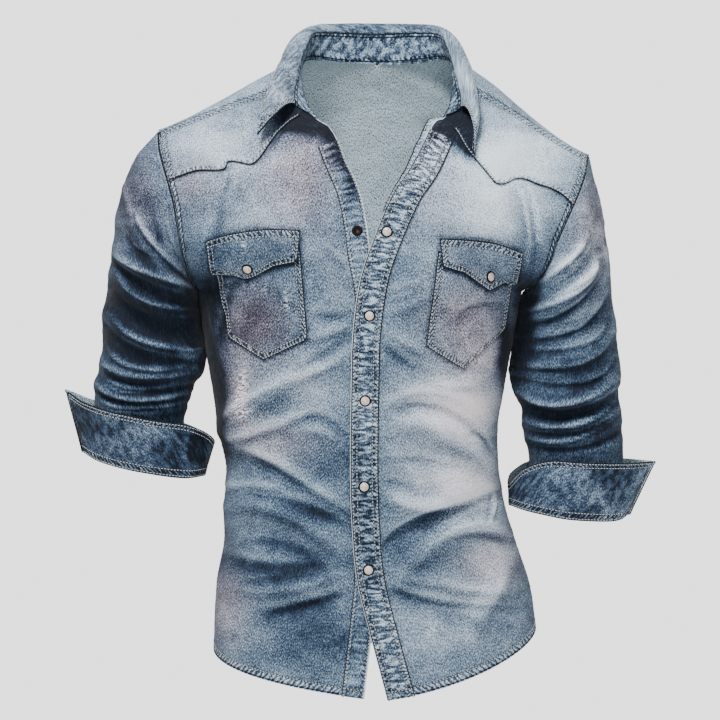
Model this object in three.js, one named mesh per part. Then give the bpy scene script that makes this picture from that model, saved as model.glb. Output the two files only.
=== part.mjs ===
// A denim shirt with its snaps closed up to the chest, filled out as if worn, with no wearer in it.
// Millimetres, +Z up, the front faces -Y and the wearer's left is +X. The origin is the middle of the
// neck, level with the tops of the shoulders, where the shirt hangs from its wearer.
// "right" and "left" are the wearer's. Every piece of cloth is a wall of even thickness.
import * as THREE from 'three';

const CLOTH = 1.2; // one layer of denim
const DOUBLED = 2.0; // collar and cuffs, two layers and a stiffener
const LAP = 1.1; // space under a piece that lies on another, which the flat facets need
const PLACKET = 32; // width of the left placket, on top
const UNDERLAP = 26; // width of the right placket, below
const SNAP_CAP = 10.4; // diameter of a pearl cap
const SNAP_RING = 12.8; // diameter of the metal ring round it
const SNAP_HIGH = 2.6; // how far a cap stands up

const V = (x, y, z) => new THREE.Vector3(x, y, z);
const mix = (a, b, t) => a + (b - a) * t;

// A smooth path through the rows of a table, each row a list of numbers, with t from 0 to 1
function along(rows, t) {
  const place = Math.min(Math.max(t, 0), 1) * (rows.length - 1);
  const i = Math.min(Math.floor(place), rows.length - 2);
  const f = place - i;
  const before = rows[Math.max(i - 1, 0)];
  const after = rows[Math.min(i + 2, rows.length - 1)];
  return rows[i].map((start, k) => {
    const end = rows[i + 1][k];
    const slopeIn = (end - before[k]) / (i > 0 ? 2 : 1);
    const slopeOut = (after[k] - start) / (i < rows.length - 2 ? 2 : 1);
    const bend = 2 * start - 2 * end + slopeIn + slopeOut;
    const rise = 3 * end - 3 * start - 2 * slopeIn - slopeOut;
    return ((bend * f + rise) * f + slopeIn) * f + start;
  });
}

// The same through two tables that meet in a corner, the underarm, where the second one starts
function cornered(upper, lower, t) {
  const place = Math.min(Math.max(t, 0), 1) * (upper.length + lower.length - 1);
  if (place <= upper.length) {
    return along([...upper, lower[0]], place / upper.length);
  }
  return along(lower, (place - upper.length) / (lower.length - 1));
}

function bezier(a, b, c, d, t) {
  const s = 1 - t;
  return a.clone().multiplyScalar(s * s * s)
    .addScaledVector(b, 3 * s * s * t)
    .addScaledVector(c, 3 * s * t * t)
    .addScaledVector(d, t * t * t);
}

// The front edge of each front, from the shoulder seam round the neck and down to the hem: x, y, z
const RIGHT_EDGE = [
  [-88, -16, -3], [-84, -36, -21], [-76, -53, -39], [-66, -66, -50], [-49, -74, -63], [-33, -90, -98],
  [-17, -107, -135], [-9, -117, -172], [-4, -122, -208], [4, -123, -255], [5, -123, -310], [2, -121, -365],
  [0, -118, -420], [0, -116, -475], [3, -115, -530], [3, -115, -585], [-2, -115, -640], [-12, -114, -724],
];
const LEFT_EDGE = [
  [94, -16, -3], [92, -36, -22], [87, -53, -39], [80, -66, -49], [69, -73, -54], [57, -86, -79],
  [41, -102, -108], [21, -117, -137], [2, -125, -180], [-16, -130, -232], [-25, -131, -292], [-27, -129, -350],
  [-28, -126, -410], [-28, -124, -470], [-26, -123, -525], [-21, -123, -580], [-8, -123, -636], [15, -122, -724],
];
// The middle of the back: round the neck to its middle, then down to the hem
const BACK_EDGE_RIGHT = [
  [-88, -16, -3], [-86, 6, 13], [-81, 28, 24], [-67, 48, 25], [-40, 61, 22],
];
const BACK_EDGE_LEFT = [
  [94, -16, -3], [95, 6, 12], [90, 28, 23], [77, 48, 25], [50, 61, 22],
];
const BACK_MIDDLE = [
  [4, 68, 20], [3, 88, -25], [1, 103, -85], [-4, 112, -150], [-10, 116, -220], [-14, 117, -290],
  [-17, 113, -345], [-20, 107, -400], [-19, 101, -455], [-16, 99, -510], [-12, 101, -560], [-7, 106, -610],
  [-3, 110, -655], [0, 112, -700],
];
// The armhole from the shoulder seam to the underarm, front and back of each side
const ARM_FRONT_RIGHT = [
  [-255, -18, -66], [-252, -40, -84], [-246, -54, -104], [-240, -63, -124], [-234, -69, -146],
  [-230, -71, -172], [-226, -64, -202], [-220, -44, -228],
];
const ARM_FRONT_LEFT = [
  [253, -18, -93], [248, -40, -112], [241, -54, -130], [233, -64, -148], [222, -72, -172],
  [212, -73, -196], [205, -64, -218], [193, -42, -239],
];
const ARM_BACK_RIGHT = [
  [-255, -18, -66], [-257, 6, -62], [-256, 28, -70], [-251, 46, -88], [-245, 60, -110],
  [-238, 69, -138], [-232, 74, -170], [-226, 66, -205], [-220, 44, -232],
];
const ARM_BACK_LEFT = [
  [253, -18, -93], [257, 6, -92], [256, 28, -98], [251, 46, -114], [243, 60, -135],
  [233, 70, -160], [221, 75, -190], [209, 68, -215], [196, 45, -238],
];
// The side seams from the underarm to the hem
const SIDE_RIGHT = [
  [-212, 2, -252], [-207, 2, -290], [-201, 2, -330], [-193, 2, -375], [-188, 2, -418],
  [-178, 2, -465], [-181, 2, -512], [-181, 2, -555], [-190, 2, -605], [-194, 2, -684],
];
const SIDE_LEFT = [
  [177, 2, -254], [170, 2, -292], [163, 2, -332], [156, 2, -372], [149, 2, -415],
  [150, 2, -465], [158, 2, -512], [172, 2, -558], [188, 2, -606], [196, 2, -658],
];
// How the cloth leaves each edge of a front, row by row, written for the left front:
// edge dx, dy, dz and side dx, dy, dz
const FRONT_PULLS = [
  [54, 0, -22, -52, 0, 24], [50, -16, -18, -50, -14, 20], [48, -24, -18, -50, -24, 15],
  [48, -28, -18, -50, -32, 12], [48, -28, -16, -50, -38, 6], [52, -24, -12, -44, -44, 3],
  [56, -16, -8, -36, -52, 2], [64, -10, -5, -22, -66, 0], [80, -6, -3, -3, -84, 0],
  [94, -3, -1, 0, -86, 0], [104, 0, 0, 0, -84, 0], [102, 0, 0, 0, -80, 0],
  [98, 0, 0, 0, -78, 0], [96, 0, 0, 0, -76, 0], [96, 0, 0, 0, -75, 0],
  [98, 0, 0, 0, -76, 0], [98, 0, 5, 0, -78, -5], [94, 0, 12, 0, -78, -13],
];
const BACK_PULLS = [
  [54, 0, -22, -52, 0, 24], [55, 2, -14, -54, 2, 20], [55, 12, -14, -54, 14, 22],
  [52, 20, -16, -56, 22, 26], [55, 22, -16, -56, 26, 30], [70, 8, -8, -54, 30, 32],
  [80, 4, -4, -50, 34, 26], [90, 2, -2, -42, 42, 18], [96, 1, -1, -28, 54, 9],
  [104, 0, 0, -3, 78, 0], [106, 0, 0, 0, 78, 0], [104, 0, 0, 0, 76, 0],
  [102, 0, 0, 0, 74, 0], [98, 0, 0, 0, 70, 0], [96, 0, 0, 0, 68, 0],
  [96, 0, 0, 0, 68, 0], [98, 0, 0, 0, 70, 0], [98, 0, 0, 0, 72, 0], [96, 0, 3, 0, 74, -4],
];

// The largest folds, each a curved line on the front view: from x, z through x, z to x, z,
// then its height (a trough is below zero) and half its width
const FRONT_FOLDS = [
  [-186, -418, -130, -372, -78, -338, 7, 15], [-180, -446, -130, -452, -86, -466, -6, 15],
  [-172, -505, -112, -480, -34, -552, 8, 15], [-172, -536, -108, -512, -50, -590, -6, 16],
  [-92, -410, -66, -396, -38, -424, 5, 12], [-172, -594, -120, -576, -70, -596, 6, 18],
  [-150, -640, -100, -618, -30, -600, -5, 15], [-176, -150, -184, -172, -188, -200, -5, 12],
  [16, -552, 46, -512, 150, -492, -8, 13], [20, -585, 70, -520, 156, -532, 7, 16],
  [20, -600, 90, -630, 158, -645, -5, 16], [30, -395, 78, -398, 138, -450, 6, 15],
  [60, -430, 100, -425, 140, -470, -5, 14], [14, -270, 40, -258, 70, -245, 4, 13],
  [158, -120, 178, -160, 178, -205, -5, 12], [110, -660, 140, -600, 168, -560, 5, 16],
];
const BACK_FOLDS = [
  [-196, -330, -110, -300, -40, -350, 6, 18], [170, -320, 90, -300, 30, -350, 6, 18],
  [-176, -460, -90, -430, -20, -470, -7, 18], [148, -460, 70, -430, -10, -480, 6, 20],
  [-176, -510, -90, -540, -10, -520, 6, 18], [156, -510, 60, -540, -30, -560, -6, 18],
  [-180, -590, -100, -560, 40, -620, 5, 20], [-210, -180, -180, -240, -160, -300, -6, 16],
  [190, -200, 170, -260, 150, -320, -6, 16], [-120, -140, -100, -220, -90, -300, 4, 20],
  [110, -150, 96, -230, 84, -300, 4, 20],
];
const SLEEVE_FOLDS_RIGHT = [
  [-312, -202, -262, -232, -222, -256, 9, 12], [-288, -156, -258, -216, -226, -252, 6, 11],
  [-256, -132, -246, -180, -232, -220, 4, 11], [-308, -232, -272, -268, -220, -282, 7, 11],
  [-318, -284, -280, -316, -214, -328, 7, 11], [-324, -258, -290, -290, -226, -304, -6, 10],
  [-330, -338, -286, -352, -216, -350, 7, 9], [-332, -362, -290, -380, -226, -374, 7, 9],
  [-336, -384, -300, -400, -236, -394, 6, 8], [-328, -350, -288, -366, -220, -362, -6, 8],
];
const SLEEVE_FOLDS_LEFT = [
  [248, -192, 236, -216, 202, -244, 8, 12], [266, -214, 246, -236, 222, -256, 7, 11],
  [260, -214, 238, -256, 182, -284, 7, 12], [284, -260, 244, -296, 184, -310, -6, 11],
  [286, -290, 248, -330, 180, -336, 6, 12], [292, -362, 232, -396, 172, -374, 7, 10],
  [296, -388, 240, -420, 180, -412, 7, 9], [298, -406, 240, -438, 184, -428, 6, 9],
  [300, -432, 250, -456, 190, -448, 6, 9], [296, -376, 236, -410, 176, -394, -6, 9],
];
const SLEEVE_BACK_FOLDS_RIGHT = [
  [-306, -210, -262, -240, -226, -250, 7, 13], [-318, -276, -270, -300, -222, -300, 7, 12],
  [-326, -330, -280, -342, -220, -336, 6, 11], [-332, -366, -286, -378, -228, -376, 6, 10],
];
const SLEEVE_BACK_FOLDS_LEFT = [
  [276, -214, 236, -244, 196, -252, 7, 13], [284, -290, 240, -312, 186, -306, 7, 12],
  [290, -352, 240, -366, 178, -356, 6, 11], [294, -404, 240, -418, 186, -412, 6, 10],
];
const FOLD_STEPS = 10;

// The sleeves as rings from the armhole down into the cuff: the outermost x and z of a ring, its
// innermost x and z, its y in the middle and half its depth
const SLEEVE_RIGHT = [
  [-255, -62, -212, -252, 0, 72], [-281, -88, -213, -257, 0, 74], [-298, -124, -214, -263, 0, 75],
  [-308, -162, -214, -271, 0, 75], [-311, -202, -213, -283, 2, 73], [-319, -242, -211, -299, 4, 70],
  [-326, -287, -207, -322, 5, 67], [-326, -326, -207, -346, 5, 64], [-334, -362, -217, -370, 3, 60],
  [-335, -392, -226, -397, 2, 51], [-335, -420, -230, -426, 1, 47], [-338, -446, -216, -470, 0, 47],
];
const SLEEVE_LEFT = [
  [254, -94, 177, -254, 0, 74], [263, -120, 178, -259, 0, 76], [270, -148, 179, -266, 0, 77],
  [276, -180, 179, -277, 0, 77], [280, -216, 176, -293, 2, 75], [286, -262, 172, -316, 4, 72],
  [290, -305, 167, -341, 5, 70], [295, -345, 167, -368, 5, 67], [294, -385, 177, -396, 4, 63],
  [298, -425, 181, -430, 1, 58], [300, -462, 191, -464, 0, 51], [298, -508, 178, -504, 0, 48],
];
// The turned-back cuffs, from the front corner round the inner end to the back corner. Both corners
// meet in a point at the outer end. Upper rim x, y, z and lower rim x, y, z
const CUFF_RIGHT = [
  [-368, -4, -374, -349, -10, -446], [-346, -30, -385, -330, -32, -454],
  [-311, -56, -393, -301, -50, -461], [-263, -67, -402, -258, -58, -468],
  [-222, -56, -409, -224, -48, -473], [-200, -31, -420, -209, -26, -474],
  [-191, 1, -434, -203, 2, -475], [-199, 34, -430, -211, 30, -477],
  [-230, 58, -418, -232, 50, -479], [-276, 68, -406, -270, 60, -475],
  [-331, 42, -391, -319, 42, -462], [-372, 8, -372, -352, 3, -447],
];
const CUFF_LEFT = [
  [336, -4, -458, 305, -12, -521], [317, -25, -457, 292, -32, -525],
  [291, -44, -456, 269, -48, -525], [245, -61, -453, 232, -57, -522],
  [207, -60, -451, 203, -52, -517], [178, -38, -463, 178, -34, -513],
  [162, -8, -484, 164, -4, -511], [167, 28, -475, 168, 28, -516],
  [196, 58, -462, 196, 50, -526], [246, 68, -458, 244, 58, -531],
  [306, 42, -459, 284, 38, -531], [340, 7, -459, 309, 1, -523],
];
const CUFF_INSET = 0.945; // the sleeve's end against the lower rim of its cuff

// The collar from the right front end round the back to the left front end: the stand's seam at the
// neck, its seam at the leaf, the leaf's outer edge, and how the leaf rises and falls between them
const STAND_LOWER = [
  [-66, -67, -48], [-75, -54, -36], [-82, -37, -20], [-86, -16, -1], [-85, 6, 15], [-80, 28, 25],
  [-66, 48, 26], [-39, 61, 23], [4, 68, 21], [49, 61, 23], [76, 48, 26], [89, 28, 24],
  [94, 6, 14], [92, -16, -1], [90, -37, -19], [86, -54, -36], [79, -67, -47],
];
const STAND_UPPER = [
  [-92, -52, -33], [-93, -42, -20], [-91, -31, -2], [-86, -11, 23], [-79, 11, 42], [-73, 34, 54],
  [-62, 55, 57], [-36, 70, 57], [5, 77, 56], [44, 70, 57], [70, 56, 56], [81, 34, 51],
  [87, 10, 38], [93, -12, 17], [98, -33, -7], [101, -46, -24], [100, -57, -37],
];
const LEAF_OUTER = [
  [-136, -95, -68], [-131, -76, -45], [-124, -44, -11], [-118, -16, 6], [-113, 10, 17],
  [-108, 40, 26], [-86, 70, 23], [-47, 87, 18], [5, 94, 16], [55, 87, 17], [92, 70, 22],
  [111, 40, 22], [117, 9, 10], [119, -18, -3], [121, -52, -31], [121, -80, -53], [114, -104, -91],
];
const LEAF_RISE = [
  [-9, -26, 8], [-9, -14, 10], [-6, -5, 11], [-4, -1, 12], [-3, 2, 14], [-2, 4, 19],
  [-2, 4, 26], [0, 5, 34], [0, 5, 38], [0, 5, 34], [2, 4, 26], [2, 4, 19],
  [3, 2, 13], [4, -2, 12], [6, -8, 11], [7, -13, 10], [8, -16, 11],
];
const LEAF_FALL = [
  [18, -2, 20], [11, -6, 22], [8, -6, 18], [6, -3, 18], [5, 2, 22], [5, 6, 30],
  [4, 8, 34], [2, 8, 36], [0, 8, 36], [-2, 8, 36], [-4, 8, 34], [-5, 6, 30],
  [-5, 2, 22], [-3, -3, 18], [0, -7, 20], [2, -8, 24], [6, 8, 30],
];

// Outlines on the front view, x and z, from the neck or the placket outwards
const YOKE_RIGHT = [
  [-80, -43], [-94, -53], [-104, -62], [-115, -76], [-127, -93], [-138, -101], [-152, -99],
  [-165, -99], [-172, -108], [-205, -110], [-239, -121],
];
const YOKE_LEFT = [
  [85, -57], [100, -79], [114, -96], [126, -110], [136, -121], [147, -122], [160, -117],
  [171, -118], [185, -124], [213, -135], [232, -150],
];
const YOKE_BACK = [7.5, 7.7, 7.9, 7.4, 6.6, 6.3, 6.5, 6.3, 5.9]; // rows down the back, middle to side
const POCKET_RIGHT = {
  top: [[-86, -196], [-118, -196], [-188, -208]],
  bottom: [[-77, -304], [-128, -329], [-171, -304]],
};
const POCKET_LEFT = {
  top: [[73, -202], [120, -206], [165, -219]],
  bottom: [[59, -312], [103, -340], [152, -296]],
};
const FLAP_RIGHT = {
  top: [[-85, -178], [-118, -177], [-143, -179], [-168, -183], [-195, -191]],
  bottom: [[-88, -214], [-116, -219], [-146, -235], [-164, -229], [-189, -228]],
};
const FLAP_LEFT = {
  top: [[74, -187], [100, -188], [131, -191], [150, -196], [171, -204]],
  bottom: [[77, -220], [103, -228], [131, -249], [147, -242], [168, -239]],
};
const SNAPS = [[14, -180], [-6, -276], [-11, -374], [-12, -474], [-7, -571]];
const SNAP_ON_FLAP_RIGHT = [-146, -221];
const SNAP_ON_FLAP_LEFT = [132, -233];
const SOCKET = [-20, -179];

// How far the folds lift the cloth at one place of the front view
function foldLift(folds, x, z) {
  let lift = 0;
  for (const [x0, z0, x1, z1, x2, z2, high, wide] of folds) {
    let near = Infinity;
    let fade = 0;
    for (let i = 0; i <= FOLD_STEPS; i += 1) {
      const t = i / FOLD_STEPS;
      const s = 1 - t;
      const dx = s * s * x0 + 2 * s * t * x1 + t * t * x2 - x;
      const dz = s * s * z0 + 2 * s * t * z1 + t * t * z2 - z;
      const gap = dx * dx + dz * dz;
      if (gap < near) {
        near = gap;
        fade = Math.pow(Math.sin(Math.PI * Math.min(Math.max(t, 0.08), 0.92)), 0.7);
      }
    }
    lift += high * fade * Math.exp(-near / (wide * wide));
  }
  return lift;
}

// The way the cloth faces at (u, v) of a sheet, which is a function of u and v
const STEP = 0.004;
function facing(sheet, u, v, turn) {
  const { from = 0, to = 1 } = sheet;
  const across = sheet(Math.min(u + STEP, to), v).sub(sheet(Math.max(u - STEP, from), v));
  const down = sheet(u, Math.min(v + STEP, 1)).sub(sheet(u, Math.max(v - STEP, 0)));
  return across.cross(down).normalize().multiplyScalar(turn);
}

// A sheet moved out by the folds and by a steady amount. A half of a larger sheet faces as the
// whole does, below the height where its halves part.
function folded(sheet, lifts, turn, calm, whole = sheet, parted = 0) {
  return (u, v, out = 0) => {
    const point = sheet(u, v);
    const lift = lifts(point) * calm(u, v);
    return point.addScaledVector(facing(v < parted ? sheet : whole, u, v, turn), lift + out);
  };
}

const ramp = (x, from, to) => {
  const t = Math.min(Math.max((x - from) / (to - from), 0), 1);
  return t * t * (3 - 2 * t);
};

// A panel between an inner edge and an outer edge, one curve across for every height
function panel(edgeRows, armRows, seamRows, pulls, side, middleRows = null) {
  return (u, v) => {
    const edge = V(...(middleRows ? cornered(edgeRows, middleRows, v) : along(edgeRows, v)));
    const outer = V(...cornered(armRows, seamRows, v));
    const pull = along(pulls, v);
    const fromEdge = edge.clone().add(V(pull[0] * side, pull[1], pull[2]));
    const fromSide = outer.clone().add(V(pull[3] * side, pull[4], pull[5]));
    return bezier(edge, fromEdge, fromSide, outer, u);
  };
}

const panelCalm = (u, v) => ramp(v, 0.03, 0.12) * ramp(1 - v, 0.0, 0.05) * ramp(1 - u, 0.0, 0.12)
  * ramp(u, 0.0, 0.14);
const backCalm = (u, v) => ramp(v, 0.25, 0.34) * ramp(1 - v, 0.0, 0.05) * ramp(1 - u, 0.0, 0.12);

const rightFront = panel(RIGHT_EDGE, ARM_FRONT_RIGHT, SIDE_RIGHT, FRONT_PULLS, -1);
const leftFront = panel(LEFT_EDGE, ARM_FRONT_LEFT, SIDE_LEFT, FRONT_PULLS, 1);
const inFront = (point) => foldLift(FRONT_FOLDS, point.x, point.z);
const behind = (point) => foldLift(BACK_FOLDS, point.x, point.z);
const frontRight = folded(rightFront, inFront, 1, panelCalm);
const frontLeft = folded(leftFront, inFront, -1, panelCalm);

// The whole back is one sheet, from -1 at the right side over 0 in the middle to 1 at the left side.
// Above the middle of the neck its halves part.
const NECK_SHARE = BACK_EDGE_RIGHT.length / (BACK_PULLS.length - 1);
const halfRight = panel(BACK_EDGE_RIGHT, ARM_BACK_RIGHT, SIDE_RIGHT, BACK_PULLS, -1, BACK_MIDDLE);
const halfLeft = panel(BACK_EDGE_LEFT, ARM_BACK_LEFT, SIDE_LEFT, BACK_PULLS, 1, BACK_MIDDLE);
const mirrored = (u, v) => halfRight(-u, v);
Object.assign(mirrored, { from: -1, to: 0 });
const backSheet = (u, v) => (u < 0 ? mirrored(u, v) : halfLeft(u, v));
backSheet.from = -1;
const backRight = folded(mirrored, behind, 1, backCalm, backSheet, NECK_SHARE);
const backLeft = folded(halfLeft, behind, 1, backCalm, backSheet, NECK_SHARE);

// Even steps from one share to another, and the points of a sheet at such steps
function steps(count, from = 0, to = 1) {
  return Array.from({ length: count + 1 }, (_, i) => mix(from, to, i / count));
}
function gridOf(sheet, us, vs, turn) {
  return { rows: vs.map((v) => us.map((u) => sheet(u, v))), turn };
}

// A closed wall round one or more grids of points that share edges. The points are the outside
// of the cloth, and the inside lies one thickness behind it.
function wall(grids, thickness) {
  const points = [];
  const index = new Map();
  const keyOf = (p) => [p.x, p.y, p.z].map((n) => Math.round(n * 500)).join(' ');
  const numberOf = (p) => {
    const key = keyOf(p);
    if (!index.has(key)) {
      index.set(key, points.length);
      points.push(p.clone());
    }
    return index.get(key);
  };
  const faces = [];
  for (const { rows, turn } of grids) {
    for (let j = 0; j < rows.length - 1; j += 1) {
      for (let i = 0; i < rows[j].length - 1; i += 1) {
        const corners = [rows[j][i], rows[j][i + 1], rows[j + 1][i + 1], rows[j + 1][i]].map(numberOf);
        const [a, b, c, d] = turn > 0 ? corners : corners.reverse();
        faces.push([a, b, c], [a, c, d]);
      }
    }
  }
  const solidFaces = faces.filter(([a, b, c]) => a !== b && b !== c && a !== c);
  const normals = points.map(() => V(0, 0, 0));
  for (const [a, b, c] of solidFaces) {
    const normal = points[b].clone().sub(points[a]).cross(points[c].clone().sub(points[a]));
    [a, b, c].forEach((n) => normals[n].add(normal));
  }
  const inner = points.map((p, n) => p.clone().addScaledVector(normals[n].normalize(), -thickness));
  const count = points.length;
  const rim = new Map();
  for (const [a, b, c] of solidFaces) {
    for (const [from, to] of [[a, b], [b, c], [c, a]]) {
      const back = `${to} ${from}`;
      if (rim.has(back)) {
        rim.delete(back);
      } else {
        rim.set(`${from} ${to}`, [from, to]);
      }
    }
  }
  const triangles = [];
  solidFaces.forEach(([a, b, c]) => triangles.push(a, b, c, count + a, count + c, count + b));
  for (const [from, to] of rim.values()) {
    triangles.push(to, from, count + from, to, count + from, count + to);
  }
  const geometry = new THREE.BufferGeometry();
  const all = [...points, ...inner].flatMap((p) => [p.x, p.y, p.z]);
  geometry.setAttribute('position', new THREE.Float32BufferAttribute(all, 3));
  geometry.setIndex(triangles);
  geometry.computeVertexNormals();
  return geometry;
}

const shirt = new THREE.Group();
const DENIM = { light: 0x8fa3b4, mid: 0x6f869d, dark: 0x465b75, cuff: 0x50678a, stand: 0x62788f };
function add(name, geometry, colour, roughness = 0.9, metalness = 0) {
  const material = new THREE.MeshStandardMaterial({ color: colour, roughness, metalness });
  const mesh = new THREE.Mesh(geometry, material);
  mesh.name = name;
  shirt.add(mesh);
  return mesh;
}

// Body panels, with one row of facets for each row of the armhole tables and two below them
const EDGE_GAP = 0.003; // share of a panel left free at a seam
const ACROSS = steps(12, 0, 1 - EDGE_GAP);
const downFrom = (underarm, last) => [
  EDGE_GAP,
  ...Array.from({ length: underarm }, (_, i) => (i + 1) / last),
  ...Array.from({ length: 2 * (last - underarm) }, (_, i) => (underarm + (i + 1) / 2) / last),
];
const FRONT_DOWN = downFrom(ARM_FRONT_RIGHT.length, RIGHT_EDGE.length - 1);
const BACK_DOWN = downFrom(ARM_BACK_RIGHT.length, BACK_PULLS.length - 1);
add('front_right', wall([gridOf(frontRight, ACROSS, FRONT_DOWN, 1)], CLOTH), DENIM.mid);
add('front_left', wall([gridOf(frontLeft, ACROSS, FRONT_DOWN, -1)], CLOTH), DENIM.mid);
add('back', wall([
  gridOf(backRight, ACROSS.map((u) => -u).reverse(), BACK_DOWN, 1),
  gridOf(backLeft, ACROSS, BACK_DOWN, 1),
], CLOTH), DENIM.mid);

// Sleeves, a ring at every height, led from the armhole at the top and into the cuff at the end
const ARMHOLE_SHARE = 0.4; // share of the sleeve over which it leaves the armhole's own shape
const CUFF_SHARE = 0.84; // where it starts to spread to its cuff
const ARMHOLE_GAP = 1.3; // space at the armhole seam
function sleeve(rings, cuffRows, armFront, armBack, underarm) {
  const ring = (u, v) => {
    const [outX, outZ, inX, inZ, midY, deep] = along(rings, v);
    const around = Math.cos(2 * Math.PI * u);
    return V(
      mix(inX, outX, (around + 1) / 2),
      midY - deep * Math.sin(2 * Math.PI * u),
      mix(inZ, outZ, (around + 1) / 2),
    );
  };
  const armhole = (u) => {
    const [rows, share] = u <= 0.5 ? [armFront, 2 * u] : [armBack, 2 - 2 * u];
    const leaving = ring(u, 0.05).sub(ring(u, 0)).normalize();
    return V(...along([...rows, underarm], share)).addScaledVector(leaving, ARMHOLE_GAP);
  };
  const middle = cuffRows.reduce((sum, row) => sum.add(V(row[3], row[4], row[5])), V(0, 0, 0))
    .divideScalar(cuffRows.length);
  return (u, v) => {
    const early = Math.pow(Math.max(1 - v / ARMHOLE_SHARE, 0), 2);
    const late = ramp(v, CUFF_SHARE, 1);
    const place = ring(u, v).addScaledVector(armhole(u).sub(ring(u, 0)), early);
    const rim = V(...along(cuffRows, u).slice(3)).sub(middle).multiplyScalar(CUFF_INSET).add(middle);
    return place.lerp(rim, late);
  };
}
const sleeveLifts = (front, behindIt) => (point) => mix(
  foldLift(behindIt, point.x, point.z), foldLift(front, point.x, point.z), ramp(-point.y, -25, 25));
const sleeveCalm = (u, v) => ramp(v, 0.02, 0.12) * ramp(1 - v, 0.12, 0.2);
const sleeveRight = folded(
  sleeve(SLEEVE_RIGHT, CUFF_RIGHT, ARM_FRONT_RIGHT, ARM_BACK_RIGHT, SIDE_RIGHT[0]),
  sleeveLifts(SLEEVE_FOLDS_RIGHT, SLEEVE_BACK_FOLDS_RIGHT), -1, sleeveCalm);
const sleeveLeft = folded(
  sleeve(SLEEVE_LEFT, CUFF_LEFT, ARM_FRONT_LEFT, ARM_BACK_LEFT, SIDE_LEFT[0]),
  sleeveLifts(SLEEVE_FOLDS_LEFT, SLEEVE_BACK_FOLDS_LEFT), 1, sleeveCalm);
const SLEEVE_AROUND = steps(22);
const SLEEVE_DOWN = steps(24);
add('sleeve_right', wall([gridOf(sleeveRight, SLEEVE_AROUND, SLEEVE_DOWN, -1)], CLOTH), DENIM.dark);
add('sleeve_left', wall([gridOf(sleeveLeft, SLEEVE_AROUND, SLEEVE_DOWN, 1)], CLOTH), DENIM.dark);

// Cuffs, straight from rim to rim
const cuff = (rows) => (u, v) => {
  const [x0, y0, z0, x1, y1, z1] = along(rows, u);
  return V(x0, y0, z0).lerp(V(x1, y1, z1), v);
};
const CUFF_ROUND = steps(26);
const CUFF_DOWN = steps(3);
add('cuff_right', wall([gridOf(cuff(CUFF_RIGHT), CUFF_ROUND, CUFF_DOWN, -1)], DOUBLED), DENIM.cuff);
add('cuff_left', wall([gridOf(cuff(CUFF_LEFT), CUFF_ROUND, CUFF_DOWN, 1)], DOUBLED), DENIM.cuff);

// Collar: the stand is given by its face at the neck, the leaf by its upper face
const stand = (u, v) => V(...along(STAND_LOWER, u)).lerp(V(...along(STAND_UPPER, u)), v);
const leaf = (u, v) => {
  const seam = V(...along(STAND_UPPER, u));
  const edge = V(...along(LEAF_OUTER, u));
  const rise = seam.clone().add(V(...along(LEAF_RISE, u)));
  const fall = edge.clone().add(V(...along(LEAF_FALL, u)));
  return bezier(seam, rise, fall, edge, v);
};
add('collar_stand', wall([gridOf(stand, steps(32), steps(2, 0.15, 0.93), 1)], DOUBLED), DENIM.stand);
add('collar_leaf', wall([gridOf(leaf, steps(32), steps(6, 0.05, 1), 1)], DOUBLED), DENIM.light);

// The place (u, v) on a sheet that shows at x, z on the front view
function findOn(sheet, x, z) {
  let best = [0.5, 0.5];
  let reach = 0.5;
  const miss = ([u, v]) => {
    const point = sheet(Math.min(Math.max(u, 0), 1), Math.min(Math.max(v, 0), 1));
    return Math.hypot(point.x - x, point.z - z);
  };
  for (let round = 0; round < 14; round += 1) {
    const tries = steps(8, -reach, reach).flatMap((du) => steps(8, -reach, reach)
      .map((dv) => [best[0] + du, best[1] + dv]));
    best = tries.reduce((a, b) => (miss(b) < miss(a) ? b : a), best);
    reach *= 0.5;
  }
  return best.map((n) => Math.min(Math.max(n, 0), 1));
}

// A piece that lies on a panel: its layer is 1 on the panel itself and more on a pocket
const outBy = (layer) => layer * (LAP + CLOTH);
const YOKE_ROWS = 4;
const NECK_CLEAR = 0.045; // share of a front that a yoke leaves free for the collar
// Rows of a yoke lie on the rows of its panel down to the last one that fits above its edge
function yokeRow(last, t, rowCount) {
  const whole = Math.round(t * YOKE_ROWS);
  return Math.max(Math.min(whole / rowCount, last), EDGE_GAP);
}
function yoke(front, base, outline) {
  const line = outline.map(([x, z]) => findOn(base, x, z));
  return (s, t) => {
    const [u, v] = along(line, s);
    return front(mix(NECK_CLEAR, 1 - 2 * EDGE_GAP, u), yokeRow(v, t, RIGHT_EDGE.length - 1), outBy(1));
  };
}
const YOKE_ACROSS = steps(14);
const YOKE_DOWN = steps(YOKE_ROWS);
const yokeRight = yoke(frontRight, rightFront, YOKE_RIGHT);
const yokeLeft = yoke(frontLeft, leftFront, YOKE_LEFT);
add('yoke_front_right', wall([gridOf(yokeRight, YOKE_ACROSS, YOKE_DOWN, 1)], CLOTH), DENIM.light);
add('yoke_front_left', wall([gridOf(yokeLeft, YOKE_ACROSS, YOKE_DOWN, -1)], CLOTH), DENIM.light);
const yokeBack = (half) => (u, row) => {
  const [last] = along(YOKE_BACK.map((rows) => [rows]), Math.abs(u));
  return half(u, Math.max(Math.min(row, last) / (BACK_PULLS.length - 1), EDGE_GAP), outBy(1));
};
const YOKE_BACK_ACROSS = steps(12, 0, 1 - 2 * EDGE_GAP);
const YOKE_BACK_DOWN = steps(8, 0, 8);
add('yoke_back', wall([
  gridOf(yokeBack(backRight), YOKE_BACK_ACROSS.map((u) => -u).reverse(), YOKE_BACK_DOWN, 1),
  gridOf(yokeBack(backLeft), YOKE_BACK_ACROSS, YOKE_BACK_DOWN, 1),
], CLOTH), DENIM.light);

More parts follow.
